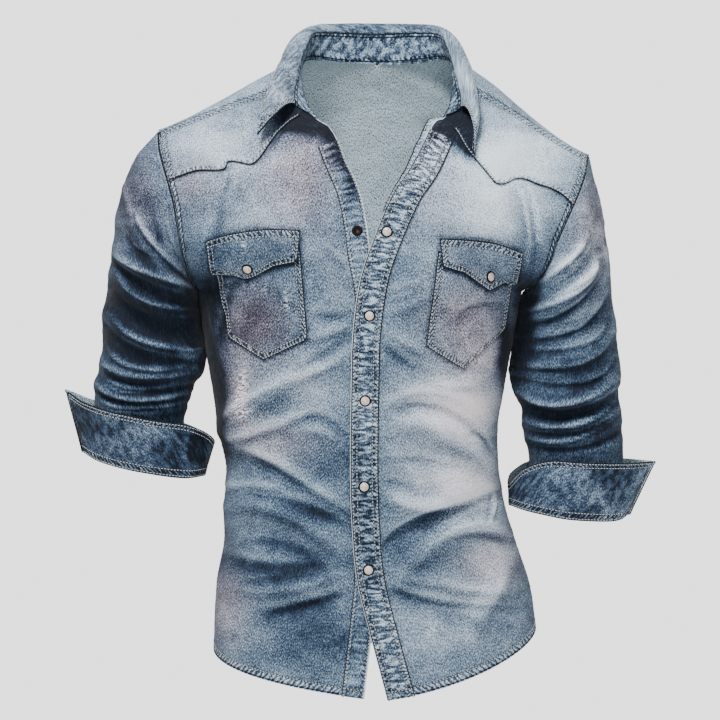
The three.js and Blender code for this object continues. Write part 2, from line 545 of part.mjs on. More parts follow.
// Plackets along the front edges, from the neck corner to the hem
const NECK_CORNER = 4.4 / (RIGHT_EDGE.length - 1);
function shareFor(base, v, width) {
  let length = 0;
  let u = 0;
  while (length < width) {
    length += base(u, v).distanceTo(base(u + 0.005, v));
    u += 0.005;
  }
  return u;
}
const placket = (front, base, width) => (s, v) => front(0.002 + s * shareFor(base, v, width), v, outBy(1));
const PLACKET_DOWN = [NECK_CORNER, ...FRONT_DOWN.filter((v) => v > NECK_CORNER)];
add('placket_right', wall([
  gridOf(placket(frontRight, rightFront, UNDERLAP), steps(3), PLACKET_DOWN, 1)], CLOTH), DENIM.mid);
add('placket_left', wall([
  gridOf(placket(frontLeft, leftFront, PLACKET), steps(3), PLACKET_DOWN, -1)], CLOTH), DENIM.mid);

// Pockets and their flaps, between an upper and a lower outline
function straight(rows, t) {
  const place = Math.min(t, 0.9999) * (rows.length - 1);
  const i = Math.floor(place);
  return rows[i].map((n, k) => mix(n, rows[i + 1][k], place - i));
}
function patch(front, base, outline, layer) {
  return (s, t) => {
    const [x0, z0] = along(outline.top, s);
    const [x1, z1] = straight(outline.bottom, s);
    const [u, v] = findOn(base, mix(x0, x1, t), mix(z0, z1, t));
    return front(u, v, outBy(layer));
  };
}
const sides = [
  {
    side: 'right', front: frontRight, base: rightFront, turn: 1, pocket: POCKET_RIGHT,
    flap: FLAP_RIGHT, flapLayer: 2.25, snap: SNAP_ON_FLAP_RIGHT, seat: 0.4,
  },
  {
    side: 'left', front: frontLeft, base: leftFront, turn: -1, pocket: POCKET_LEFT,
    flap: FLAP_LEFT, flapLayer: 2.65, snap: SNAP_ON_FLAP_LEFT, seat: 1.9,
  },
];
for (const { side, front, base, turn, pocket, flap, flapLayer } of sides) {
  add(`pocket_${side}`, wall([
    gridOf(patch(front, base, pocket, 1), steps(10), steps(7), turn)], CLOTH), DENIM.mid);
  add(`flap_${side}`, wall([
    gridOf(patch(front, base, flap, flapLayer), steps(12), steps(3), turn)], CLOTH), DENIM.mid);
}

// Snaps: a metal ring with a pearl cap, turned on its axis and set on the cloth
function snapShape(ring, cap, high) {
  const profile = [
    [0, 0], [ring, 0], [ring, 0.8], [cap + 0.4, 1.1], [cap, high * 0.55],
    [cap * 0.7, high * 0.9], [0, high],
  ].map(([r, h]) => new THREE.Vector2(r, h));
  return new THREE.LatheGeometry(profile, 14);
}
const SNAP_SEAT = 0.7; // space under a snap
function setSnap(name, front, base, turn, [x, z], layer, seat, geometry, colour) {
  const [u, v] = findOn(base, x, z);
  const way = facing(base, u, v, turn);
  const mesh = add(name, geometry, colour, 0.3, 0.2);
  mesh.position.copy(front(u, v, outBy(layer) + seat));
  mesh.quaternion.setFromUnitVectors(V(0, 1, 0), way);
}
const capShape = () => snapShape(SNAP_RING / 2, SNAP_CAP / 2, SNAP_HIGH);
SNAPS.forEach((place, i) => {
  setSnap(`snap_${i + 1}`, frontLeft, leftFront, -1, place, 1, SNAP_SEAT, capShape(), 0xe0d5cb);
});
for (const { side, front, base, turn, snap, flapLayer, seat } of sides) {
  setSnap(`snap_flap_${side}`, front, base, turn, snap, flapLayer, seat, capShape(), 0xe0d5cb);
}
const SOCKET_RING = 6.2;
const SOCKET_WELL = 3.4;
const socketShape = snapShape(SOCKET_RING, SOCKET_WELL, 1.6);
setSnap('snap_socket', frontRight, rightFront, 1, SOCKET, 1, SNAP_SEAT, socketShape, 0x554a42);

export default shirt;
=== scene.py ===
# A washed denim shirt with pearl snaps, filled out as if worn. Tables are in millimetres, in the
# same frame as the solids: +Z up, the front faces -Y, the wearer's left is +X.
from math import pi, radians

import bmesh
import bpy
import numpy as np
from mathutils import Matrix, Vector


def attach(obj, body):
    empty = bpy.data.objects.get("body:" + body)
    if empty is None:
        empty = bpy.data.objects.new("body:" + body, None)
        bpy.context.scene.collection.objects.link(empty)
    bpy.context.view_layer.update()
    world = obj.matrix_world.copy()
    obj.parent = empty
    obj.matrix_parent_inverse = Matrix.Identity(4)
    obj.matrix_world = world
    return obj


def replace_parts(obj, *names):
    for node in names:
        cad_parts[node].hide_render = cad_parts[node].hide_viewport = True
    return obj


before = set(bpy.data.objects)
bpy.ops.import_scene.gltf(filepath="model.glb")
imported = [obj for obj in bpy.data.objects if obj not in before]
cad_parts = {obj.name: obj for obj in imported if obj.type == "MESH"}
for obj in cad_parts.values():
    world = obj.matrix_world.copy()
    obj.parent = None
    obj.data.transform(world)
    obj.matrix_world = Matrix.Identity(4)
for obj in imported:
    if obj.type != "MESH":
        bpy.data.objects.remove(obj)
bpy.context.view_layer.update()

MM = 0.001
CLOTH = 1.2  # one layer of denim
DOUBLED = 2.0  # collar and cuffs
LIE = 1.5  # from the face of a panel to the face of a piece sewn on it
PLACKET = 32  # width of the left placket
UNDERLAP = 26  # width of the right placket
HEM = 9.5  # depth of the turned hem
TWIN = (1.8, 7.4)  # two rows of stitching, from the edge
EDGE_GAP = 0.0005  # share of a panel left free at a seam

# The camera stands where the photograph was taken from, three metres in front and a little above
camera = bpy.data.cameras.new("camera")
camera.lens, camera.sensor_width = 125, 36
viewer = bpy.data.objects.new("camera", camera)
viewer.location = (-0.0168, -2.9927, -0.1267)
viewer.rotation_euler = (radians(86), 0, 0)
bpy.context.scene.collection.objects.link(viewer)
bpy.context.scene.camera = viewer

# The front edge of each front, from the shoulder seam round the neck and down to the hem: x, y, z
RIGHT_EDGE = [
  [-88, -16, -3], [-84, -36, -21], [-76, -53, -39], [-66, -66, -50], [-49, -74, -63], [-33, -90, -98],
  [-17, -107, -135], [-9, -117, -172], [-4, -122, -208], [4, -123, -255], [5, -123, -310], [2, -121, -365],
  [0, -118, -420], [0, -116, -475], [3, -115, -530], [3, -115, -585], [-2, -115, -640], [-12, -114, -724],
]
LEFT_EDGE = [
  [94, -16, -3], [92, -36, -22], [87, -53, -39], [80, -66, -49], [69, -73, -54], [57, -86, -79],
  [41, -102, -108], [21, -117, -137], [2, -125, -180], [-16, -130, -232], [-25, -131, -292],
  [-27, -129, -350], [-28, -126, -410], [-28, -124, -470], [-26, -123, -525], [-21, -123, -580],
  [-8, -123, -636], [15, -122, -724],
]
# The middle of the back: round the neck to its middle, then down to the hem
BACK_EDGE_RIGHT = [
  [-88, -16, -3], [-86, 6, 13], [-81, 28, 24], [-67, 48, 25], [-40, 61, 22],
]
BACK_EDGE_LEFT = [
  [94, -16, -3], [95, 6, 12], [90, 28, 23], [77, 48, 25], [50, 61, 22],
]
BACK_MIDDLE = [
  [4, 68, 20], [3, 88, -25], [1, 103, -85], [-4, 112, -150], [-10, 116, -220], [-14, 117, -290],
  [-17, 113, -345], [-20, 107, -400], [-19, 101, -455], [-16, 99, -510], [-12, 101, -560], [-7, 106, -610],
  [-3, 110, -655], [0, 112, -700],
]
# The armhole from the shoulder seam to the underarm, front and back of each side
ARM_FRONT_RIGHT = [
  [-255, -18, -66], [-252, -40, -84], [-246, -54, -104], [-240, -63, -124], [-234, -69, -146],
  [-230, -71, -172], [-226, -64, -202], [-220, -44, -228],
]
ARM_FRONT_LEFT = [
  [253, -18, -93], [248, -40, -112], [241, -54, -130], [233, -64, -148], [222, -72, -172],
  [212, -73, -196], [205, -64, -218], [193, -42, -239],
]
ARM_BACK_RIGHT = [
  [-255, -18, -66], [-257, 6, -62], [-256, 28, -70], [-251, 46, -88], [-245, 60, -110],
  [-238, 69, -138], [-232, 74, -170], [-226, 66, -205], [-220, 44, -232],
]
ARM_BACK_LEFT = [
  [253, -18, -93], [257, 6, -92], [256, 28, -98], [251, 46, -114], [243, 60, -135],
  [233, 70, -160], [221, 75, -190], [209, 68, -215], [196, 45, -238],
]
# The side seams from the underarm to the hem
SIDE_RIGHT = [
  [-212, 2, -252], [-207, 2, -290], [-201, 2, -330], [-193, 2, -375], [-188, 2, -418],
  [-178, 2, -465], [-181, 2, -512], [-181, 2, -555], [-190, 2, -605], [-194, 2, -684],
]
SIDE_LEFT = [
  [177, 2, -254], [170, 2, -292], [163, 2, -332], [156, 2, -372], [149, 2, -415],
  [150, 2, -465], [158, 2, -512], [172, 2, -558], [188, 2, -606], [196, 2, -658],
]
# How the cloth leaves each edge of a front, row by row, written for the left front:
# edge dx, dy, dz and side dx, dy, dz
FRONT_PULLS = [
  [54, 0, -22, -52, 0, 24], [50, -16, -18, -50, -14, 20], [48, -24, -18, -50, -24, 15],
  [48, -28, -18, -50, -32, 12], [48, -28, -16, -50, -38, 6], [52, -24, -12, -44, -44, 3],
  [56, -16, -8, -36, -52, 2], [64, -10, -5, -22, -66, 0], [80, -6, -3, -3, -84, 0],
  [94, -3, -1, 0, -86, 0], [104, 0, 0, 0, -84, 0], [102, 0, 0, 0, -80, 0],
  [98, 0, 0, 0, -78, 0], [96, 0, 0, 0, -76, 0], [96, 0, 0, 0, -75, 0],
  [98, 0, 0, 0, -76, 0], [98, 0, 5, 0, -78, -5], [94, 0, 12, 0, -78, -13],
]
BACK_PULLS = [
  [54, 0, -22, -52, 0, 24], [55, 2, -14, -54, 2, 20], [55, 12, -14, -54, 14, 22],
  [52, 20, -16, -56, 22, 26], [55, 22, -16, -56, 26, 30], [70, 8, -8, -54, 30, 32],
  [80, 4, -4, -50, 34, 26], [90, 2, -2, -42, 42, 18], [96, 1, -1, -28, 54, 9],
  [104, 0, 0, -3, 78, 0], [106, 0, 0, 0, 78, 0], [104, 0, 0, 0, 76, 0],
  [102, 0, 0, 0, 74, 0], [98, 0, 0, 0, 70, 0], [96, 0, 0, 0, 68, 0],
  [96, 0, 0, 0, 68, 0], [98, 0, 0, 0, 70, 0], [98, 0, 0, 0, 72, 0], [96, 0, 3, 0, 74, -4],
]

# The largest folds, each a curved line on the front view: from x, z through x, z to x, z,
# then its height (a trough is below zero) and half its width
FRONT_FOLDS = [
  [-186, -418, -130, -372, -78, -338, 7, 15], [-180, -446, -130, -452, -86, -466, -6, 15],
  [-172, -505, -112, -480, -34, -552, 8, 15], [-172, -536, -108, -512, -50, -590, -6, 16],
  [-92, -410, -66, -396, -38, -424, 5, 12], [-172, -594, -120, -576, -70, -596, 6, 18],
  [-150, -640, -100, -618, -30, -600, -5, 15], [-176, -150, -184, -172, -188, -200, -5, 12],
  [16, -552, 46, -512, 150, -492, -8, 13], [20, -585, 70, -520, 156, -532, 7, 16],
  [20, -600, 90, -630, 158, -645, -5, 16], [30, -395, 78, -398, 138, -450, 6, 15],
  [60, -430, 100, -425, 140, -470, -5, 14], [14, -270, 40, -258, 70, -245, 4, 13],
  [158, -120, 178, -160, 178, -205, -5, 12], [110, -660, 140, -600, 168, -560, 5, 16],
]
BACK_FOLDS = [
  [-196, -330, -110, -300, -40, -350, 6, 18], [170, -320, 90, -300, 30, -350, 6, 18],
  [-176, -460, -90, -430, -20, -470, -7, 18], [148, -460, 70, -430, -10, -480, 6, 20],
  [-176, -510, -90, -540, -10, -520, 6, 18], [156, -510, 60, -540, -30, -560, -6, 18],
  [-180, -590, -100, -560, 40, -620, 5, 20], [-210, -180, -180, -240, -160, -300, -6, 16],
  [190, -200, 170, -260, 150, -320, -6, 16], [-120, -140, -100, -220, -90, -300, 4, 20],
  [110, -150, 96, -230, 84, -300, 4, 20],
]
SLEEVE_FOLDS_RIGHT = [
  [-312, -202, -262, -232, -222, -256, 9, 12], [-288, -156, -258, -216, -226, -252, 6, 11],
  [-256, -132, -246, -180, -232, -220, 4, 11], [-308, -232, -272, -268, -220, -282, 7, 11],
  [-318, -284, -280, -316, -214, -328, 7, 11], [-324, -258, -290, -290, -226, -304, -6, 10],
  [-330, -338, -286, -352, -216, -350, 7, 9], [-332, -362, -290, -380, -226, -374, 7, 9],
  [-336, -384, -300, -400, -236, -394, 6, 8], [-328, -350, -288, -366, -220, -362, -6, 8],
]
SLEEVE_FOLDS_LEFT = [
  [248, -192, 236, -216, 202, -244, 8, 12], [266, -214, 246, -236, 222, -256, 7, 11],
  [260, -214, 238, -256, 182, -284, 7, 12], [284, -260, 244, -296, 184, -310, -6, 11],
  [286, -290, 248, -330, 180, -336, 6, 12], [292, -362, 232, -396, 172, -374, 7, 10],
  [296, -388, 240, -420, 180, -412, 7, 9], [298, -406, 240, -438, 184, -428, 6, 9],
  [300, -432, 250, -456, 190, -448, 6, 9], [296, -376, 236, -410, 176, -394, -6, 9],
]
SLEEVE_BACK_FOLDS_RIGHT = [
  [-306, -210, -262, -240, -226, -250, 7, 13], [-318, -276, -270, -300, -222, -300, 7, 12],
  [-326, -330, -280, -342, -220, -336, 6, 11], [-332, -366, -286, -378, -228, -376, 6, 10],
]
SLEEVE_BACK_FOLDS_LEFT = [
  [276, -214, 236, -244, 196, -252, 7, 13], [284, -290, 240, -312, 186, -306, 7, 12],
  [290, -352, 240, -366, 178, -356, 6, 11], [294, -404, 240, -418, 186, -412, 6, 10],
]
FOLD_STEPS = 14  # straight steps along the curve of a fold
FOLD_REACH = 3.5  # how far a fold is felt, in its half widths
FULL_FOLD = 3.6  # height of a fold that gets its whole share of wear and painted light

# The sleeves as rings from the armhole down into the cuff: the outermost x and z of a ring, its
# innermost x and z, its y in the middle and half its depth
SLEEVE_RIGHT = [
  [-255, -62, -212, -252, 0, 72], [-281, -88, -213, -257, 0, 74], [-298, -124, -214, -263, 0, 75],
  [-308, -162, -214, -271, 0, 75], [-311, -202, -213, -283, 2, 73], [-319, -242, -211, -299, 4, 70],
  [-326, -287, -207, -322, 5, 67], [-326, -326, -207, -346, 5, 64], [-334, -362, -217, -370, 3, 60],
  [-335, -392, -226, -397, 2, 51], [-335, -420, -230, -426, 1, 47], [-338, -446, -216, -470, 0, 47],
]
SLEEVE_LEFT = [
  [254, -94, 177, -254, 0, 74], [263, -120, 178, -259, 0, 76], [270, -148, 179, -266, 0, 77],
  [276, -180, 179, -277, 0, 77], [280, -216, 176, -293, 2, 75], [286, -262, 172, -316, 4, 72],
  [290, -305, 167, -341, 5, 70], [295, -345, 167, -368, 5, 67], [294, -385, 177, -396, 4, 63],
  [298, -425, 181, -430, 1, 58], [300, -462, 191, -464, 0, 51], [298, -508, 178, -504, 0, 48],
]
# The turned-back cuffs, from the front corner round the inner end to the back corner. Both corners
# meet in a point at the outer end. Upper rim x, y, z and lower rim x, y, z
CUFF_RIGHT = [
  [-368, -4, -374, -349, -10, -446], [-346, -30, -385, -330, -32, -454],
  [-311, -56, -393, -301, -50, -461], [-263, -67, -402, -258, -58, -468],
  [-222, -56, -409, -224, -48, -473], [-200, -31, -420, -209, -26, -474],
  [-191, 1, -434, -203, 2, -475], [-199, 34, -430, -211, 30, -477],
  [-230, 58, -418, -232, 50, -479], [-276, 68, -406, -270, 60, -475],
  [-331, 42, -391, -319, 42, -462], [-372, 8, -372, -352, 3, -447],
]
CUFF_LEFT = [
  [336, -4, -458, 305, -12, -521], [317, -25, -457, 292, -32, -525],
  [291, -44, -456, 269, -48, -525], [245, -61, -453, 232, -57, -522],
  [207, -60, -451, 203, -52, -517], [178, -38, -463, 178, -34, -513],
  [162, -8, -484, 164, -4, -511], [167, 28, -475, 168, 28, -516],
  [196, 58, -462, 196, 50, -526], [246, 68, -458, 244, 58, -531],
  [306, 42, -459, 284, 38, -531], [340, 7, -459, 309, 1, -523],
]
CUFF_INSET = 0.945  # the sleeve's end against the lower rim of its cuff

# The collar from the right front end round the back to the left front end: the stand's seam at the
# neck, its seam at the leaf, the leaf's outer edge, and how the leaf rises and falls between them
STAND_LOWER = [
  [-66, -67, -48], [-75, -54, -36], [-82, -37, -20], [-86, -16, -1], [-85, 6, 15], [-80, 28, 25],
  [-66, 48, 26], [-39, 61, 23], [4, 68, 21], [49, 61, 23], [76, 48, 26], [89, 28, 24],
  [94, 6, 14], [92, -16, -1], [90, -37, -19], [86, -54, -36], [79, -67, -47],
]
STAND_UPPER = [
  [-92, -52, -33], [-93, -42, -20], [-91, -31, -2], [-86, -11, 23], [-79, 11, 42], [-73, 34, 54],
  [-62, 55, 57], [-36, 70, 57], [5, 77, 56], [44, 70, 57], [70, 56, 56], [81, 34, 51],
  [87, 10, 38], [93, -12, 17], [98, -33, -7], [101, -46, -24], [100, -57, -37],
]
LEAF_OUTER = [
  [-136, -95, -68], [-131, -76, -45], [-124, -44, -11], [-118, -16, 6], [-113, 10, 17],
  [-108, 40, 26], [-86, 70, 23], [-47, 87, 18], [5, 94, 16], [55, 87, 17], [92, 70, 22],
  [111, 40, 22], [117, 9, 10], [119, -18, -3], [121, -52, -31], [121, -80, -53], [114, -104, -91],
]
LEAF_RISE = [
  [-9, -26, 8], [-9, -14, 10], [-6, -5, 11], [-4, -1, 12], [-3, 2, 14], [-2, 4, 19],
  [-2, 4, 26], [0, 5, 34], [0, 5, 38], [0, 5, 34], [2, 4, 26], [2, 4, 19],
  [3, 2, 13], [4, -2, 12], [6, -8, 11], [7, -13, 10], [8, -16, 11],
]
LEAF_FALL = [
  [18, -2, 20], [11, -6, 22], [8, -6, 18], [6, -3, 18], [5, 2, 22], [5, 6, 30],
  [4, 8, 34], [2, 8, 36], [0, 8, 36], [-2, 8, 36], [-4, 8, 34], [-5, 6, 30],
  [-5, 2, 22], [-3, -3, 18], [0, -7, 20], [2, -8, 24], [6, 8, 30],
]

# Outlines on the front view, x and z, from the neck or the placket outwards
YOKE_RIGHT = [
  [-80, -43], [-94, -53], [-104, -62], [-115, -76], [-127, -93], [-138, -101], [-152, -99],
  [-165, -99], [-172, -108], [-205, -110], [-239, -121],
]
YOKE_LEFT = [
  [85, -57], [100, -79], [114, -96], [126, -110], [136, -121], [147, -122], [160, -117],
  [171, -118], [185, -124], [213, -135], [232, -150],
]
YOKE_BACK = [7.5, 7.7, 7.9, 7.4, 6.6, 6.3, 6.5, 6.3, 5.9]  # rows down the back, middle to side
POCKET_RIGHT = {
  "top": [[-86, -196], [-118, -196], [-188, -208]],
  "bottom": [[-77, -304], [-128, -329], [-171, -304]],
}
POCKET_LEFT = {
  "top": [[73, -202], [120, -206], [165, -219]],
  "bottom": [[59, -312], [103, -340], [152, -296]],
}
FLAP_RIGHT = {
  "top": [[-85, -178], [-118, -177], [-143, -179], [-168, -183], [-195, -191]],
  "bottom": [[-88, -214], [-116, -219], [-146, -235], [-164, -229], [-189, -228]],
}
FLAP_LEFT = {
  "top": [[74, -187], [100, -188], [131, -191], [150, -196], [171, -204]],
  "bottom": [[77, -220], [103, -228], [131, -249], [147, -242], [168, -239]],
}
SNAPS = [[14, -180], [-6, -276], [-11, -374], [-12, -474], [-7, -571]]
SNAP_ON_FLAP_RIGHT = [-146, -221]
SNAP_ON_FLAP_LEFT = [132, -233]
SOCKET = [-20, -179]

# Smaller creases on the front view: from x, z through x, z to x, z, then height and half width
FRONT_CREASES = [
  [-179, -403, -166, -387, -97, -347, 3, 7], [-180, -426, -157, -426, -82, -390, 4, 8],
  [-101, -408, -66, -378, -36, -413, -4, 8], [-162, -433, -125, -438, -28, -502, 4, 9],
  [-175, -491, -96, -482, -26, -524, -4, 9], [-175, -486, -138, -469, -98, -484, 3, 6],
  [-175, -567, -136, -575, -62, -567, -3.5, 9], [-162, -544, -124, -524, -75, -552, 2.5, 10],
  [-162, -594, -132, -590, -98, -581, -2.5, 6], [-156, -602, -98, -606, -40, -575, 2.5, 7],
  [-140, -627, -90, -618, -28, -597, -3.5, 7], [-62, -662, -40, -658, -26, -642, -2, 5],
  [8, -393, 68, -354, 136, -426, -3.5, 8], [12, -377, 77, -338, 138, -407, 3, 8],
  [106, -420, 130, -404, 141, -449, -3, 4], [10, -442, 62, -440, 122, -462, -2.5, 6],
  [8, -467, 29, -468, 62, -482, -2.5, 7], [10, -483, 63, -516, 136, -488, 4, 9],
  [10, -547, 16, -515, 139, -491, -5, 6], [128, -527, 144, -512, 147, -489, 2.5, 3.5],
  [123, -527, 138, -511, 141, -491, -2, 3], [68, -547, 118, -518, 165, -554, -4, 6],
  [76, -536, 121, -508, 162, -545, 2.5, 5], [18, -591, 58, -614, 169, -625, -4, 7],
  [30, -579, 91, -594, 164, -608, 3, 8], [-169, -114, -170, -130, -180, -141, -2.5, 3.5],
  [-67, -194, -36, -214, -28, -239, -2, 7], [-79, -274, -48, -280, -28, -273, -3, 7],
  [-79, -303, -48, -298, -28, -285, 2.5, 7], [-88, -335, -56, -322, -28, -297, -3, 7],
  [-98, -354, -59, -340, -28, -317, 2.5, 7], [17, -262, 34, -255, 64, -244, -2.5, 6],
  [16, -247, 38, -239, 64, -231, 2, 6], [9, -304, 32, -334, 62, -341, -3, 7],
  [11, -288, 44, -318, 66, -319, 2, 7], [64, -349, 93, -364, 122, -356, 2.5, 8],
  [167, -125, 185, -166, 179, -219, 2.5, 4], [175, -128, 192, -166, 188, -215, -3, 5],
  [-164, -238, -178, -286, -183, -317, -2.5, 6], [-196, -259, -184, -310, -176, -342, 2, 6],
  [-121, -215, -100, -261, -91, -299, 0.9, 2.5], [96, -284, 100, -262, 145, -265, -2, 7],
  [110, -288, 97, -316, 120, -324, 1.5, 4], [-130, -190, -126, -206, -109, -215, 0.8, 3],
]
BACK_CREASES = [
  [-190, -300, -120, -318, -60, -300, 3, 7], [-186, -352, -110, -338, -40, -372, -3, 7],
  [-180, -400, -100, -392, -30, -412, 3.5, 8], [-176, -438, -96, -452, -20, -436, -3, 7],
  [-172, -486, -90, -470, -10, -500, 3.5, 8], [-176, -540, -100, -560, -20, -548, 3, 8],
  [-178, -566, -90, -590, 0, -580, -3, 8], [164, -296, 96, -322, 36, -306, 3, 7],
  [158, -348, 86, -336, 20, -366, -3, 7], [150, -396, 80, -402, 6, -386, 3.5, 8],
  [148, -440, 70, -456, -6, -440, -3, 7], [152, -492, 80, -482, -6, -512, 3.5, 8],
  [166, -546, 84, -560, 0, -536, 3, 8], [180, -600, 100, -588, 20, -612, -3, 8],
  [-120, -620, -60, -636, 30, -624, 2, 9], [-20, -180, -26, -240, -12, -300, 2, 12],
  [-200, -160, -170, -200, -160, -250, 3, 7], [184, -180, 160, -216, 150, -262, 3, 7],
]
SLEEVE_CREASES_RIGHT = [
  [-209, -232, -205, -285, -206, -345, 8, 13],
  [-303, -210, -282, -216, -210, -253, 6, 5], [-308, -217, -285, -231, -222, -261, -4, 5],
  [-276, -158, -278, -177, -217, -240, 4, 5], [-246, -131, -244, -180, -223, -218, 3, 5],
  [-302, -228, -281, -268, -212, -273, 5, 5], [-313, -249, -286, -282, -216, -287, -4, 6],
  [-313, -278, -283, -312, -221, -321, 5, 5], [-318, -294, -280, -326, -221, -334, -4, 5],
  [-320, -314, -300, -350, -229, -341, 4, 4], [-323, -334, -306, -361, -214, -348, 3.5, 4],
  [-325, -351, -293, -374, -217, -360, 4, 4], [-326, -365, -302, -386, -222, -372, 3.5, 3.5],
  [-328, -379, -312, -392, -224, -385, 3.5, 3.5], [-325, -359, -304, -380, -219, -366, -3, 3],
  [-326, -373, -306, -390, -222, -378, -3, 3], [-298, -121, -294, -142, -277, -170, 2, 6],
  [-289, -185, -280, -208, -251, -212, -2.5, 4], [-234, -173, -231, -206, -216, -228, -2.5, 4],
]
SLEEVE_CREASES_LEFT = [
  [181, -212, 174, -282, 164, -350, 9, 14],
  [247, -186, 235, -211, 199, -240, 5, 5], [261, -212, 242, -232, 220, -251, 4, 4],
  [254, -212, 248, -253, 178, -278, 5, 5], [265, -232, 248, -274, 183, -292, -4, 5],
  [274, -252, 260, -303, 174, -306, 4, 5], [279, -282, 271, -326, 171, -322, -3.5, 5],
  [282, -302, 260, -348, 167, -339, 4, 5], [287, -332, 269, -376, 167, -355, -3, 4],
  [286, -357, 213, -404, 172, -371, 5, 4.5], [287, -370, 220, -410, 174, -381, -3.5, 4],
  [285, -384, 234, -422, 179, -407, 4.5, 4], [287, -396, 240, -430, 181, -417, -3.5, 3.5],
  [289, -398, 230, -438, 182, -426, 4, 4], [292, -419, 240, -444, 187, -436, -3, 3.5],
  [292, -432, 239, -448, 190, -449, 4, 4], [217, -144, 214, -172, 208, -203, -2.5, 5],
  [271, -173, 264, -204, 274, -232, 2, 6],
]

# Where washing and wear left the front paler or darker, with painted shade along the sides beside the
# sleeves and beside the lower outer corner of the left pocket: x, z, half width, half height, how much
# paler (below zero darker), and how much it turns from blue to mauve
FRONT_WEAR_AND_SHADE = [
  [-190, -85, 70, 40, 0.26, 0.15], [-120, -120, 45, 45, 0.08, 0.35], [-80, -110, 34, 60, 0.06, 0.8],
  [-120, -165, 60, 26, 0.1, 0.1], [-215, -125, 30, 30, -0.06, 0.6], [-140, -285, 42, 40, -0.12, 1.1],
  [-150, -205, 55, 20, -0.1, 0.0], [-160, -368, 24, 46, 0.12, 0.9], [-90, -345, 40, 25, 0.14, 0.3],
  [-120, -425, 50, 26, 0.16, 0.7], [-66, -375, 36, 20, 0.14, 0.1],
  [-182, -620, 32, 50, 0.18, 0.95], [-80, -540, 70, 40, -0.16, 0.0],
  [-125, -582, 62, 14, -0.46, 0.0], [-70, -650, 60, 40, -0.26, 0.0], [-60, -440, 50, 40, -0.14, 0.0],
  [-95, -508, 72, 12, -0.22, 0.0], [-184, -390, 11, 52, -0.8, 0.4], [-192, -280, 18, 66, -0.5, 0.0],
  [-196, -520, 14, 60, -0.14, 0.3], [150, -100, 70, 40, 0.66, 0.0], [70, -130, 40, 50, 0.02, 0.3],
  [146, -160, 50, 35, 0.42, 0.15], [80, -190, 60, 50, 0.14, 0.0], [105, -280, 46, 45, 0.08, 0.9],
  [125, -330, 40, 30, 0.34, 0.7], [110, -392, 50, 34, 0.7, 0.8],
  [60, -370, 60, 30, 0.18, 0.2], [40, -430, 40, 30, 0.16, 0.1],
  [110, -475, 62, 34, 0.62, 0.7], [140, -570, 46, 36, 0.28, 0.8], [44, -550, 40, 40, -0.14, 0.0],
  [90, -645, 80, 36, 0.2, 0.1], [178, -262, 14, 60, -0.3, 0.1], [165, -420, 10, 70, -0.16, 0.3],
  [-40, -230, 40, 60, 0.02, 0.1], [154, -322, 9, 34, -0.7, 0.0],
  [-12, -540, 18, 110, -0.12, 0.0], [140, -60, 60, 30, 0.1, 0.0],
]
# Painted shadow that the collar casts on the fronts and the front yokes
PAINTED_COLLAR_SHADOW = [
  [-92, -46, 26, 18, -0.9, 0.1], [-60, -58, 30, 18, -0.7, 0.3], [-44, -82, 13, 26, -0.5, 0.4],
  [-26, -116, 11, 34, -0.5, 0.1], [-116, -74, 12, 12, -0.2, 0.1], [101, -60, 15, 26, -1.3, 0.0],
  [80, -60, 22, 14, -0.5, 0.5], [62, -74, 16, 14, -0.26, 0.3], [110, -84, 8, 14, -0.8, 0.0],
]
LEAF_WEAR = [
  [118, -10, 30, 50, 0.34, 0.0], [-110, -10, 30, 50, 0.06, 0.2], [-126, -58, 14, 20, -0.1, 0.0],
]
BACK_WEAR = [
  [-150, -100, 90, 50, 0.2, 0.1], [150, -110, 90, 50, 0.2, 0.1], [0, -200, 90, 90, 0.1, 0.4],
  [-120, -340, 50, 70, 0.1, 0.6], [100, -360, 50, 70, 0.12, 0.6], [0, -560, 110, 80, -0.1, 0.1],
  [150, -600, 50, 60, 0.12, 0.7], [-150, -600, 50, 60, 0.12, 0.7], [-20, -440, 120, 60, -0.06, 0.0],
]
# Patches on the sleeves in the same columns, with painted shade on the inner side of each sleeve beside the
# body
SLEEVE_WEAR_AND_SHADE = [
  [-285, -130, 34, 50, -0.1, 0.6], [-262, -180, 36, 50, -0.12, 0.3], [-270, -260, 60, 50, -0.56, 0.0],
  [-270, -350, 70, 70, -0.38, 0.0], [-206, -300, 12, 64, -0.4, 0.0], [262, -170, 34, 60, 0.16, 0.8],
  [245, -240, 36, 50, 0.04, 0.1], [230, -310, 60, 50, -0.1, 0.0], [235, -400, 80, 80, -0.38, 0.0],
  [176, -300, 10, 60, -0.3, 0.0],
]
CUFF_WEAR = [
  [-206, -432, 14, 40, -0.2, 0.0], [-300, -420, 30, 30, 0.05, 0.1], [158, -486, 10, 30, -0.14, 0.0],
  [270, -480, 40, 30, 0.06, 0.1],
]
# Small abraded patches in the same columns: the fifth is how bare they are rubbed, the last is unused
SCUFFS = [
  [-154, -366, 7, 24, 1.0, 0], [-150, -392, 9, 8, 0.7, 0], [198, -86, 6, 13, 0.9, 0],
  [188, -106, 4, 9, 0.7, 0], [-101, -262, 3, 16, 0.7, 0], [-126, -246, 3, 9, 0.5, 0],
  [-172, -300, 6, 5, 0.5, 0], [120, -332, 8, 4, 0.5, 0], [-150, -194, 3, 10, 0.6, 0],
  [66, -640, 8, 10, 0.4, 0], [150, -505, 10, 4, 0.4, 0],
]
LEAST_WASH = -0.04  # the darkest that shade leaves the cloth


def mix(a, b, t):
    return a + (b - a) * t


def ramp(x, start, end):
    t = np.clip((x - start) / (end - start), 0, 1)
    return t * t * (3 - 2 * t)


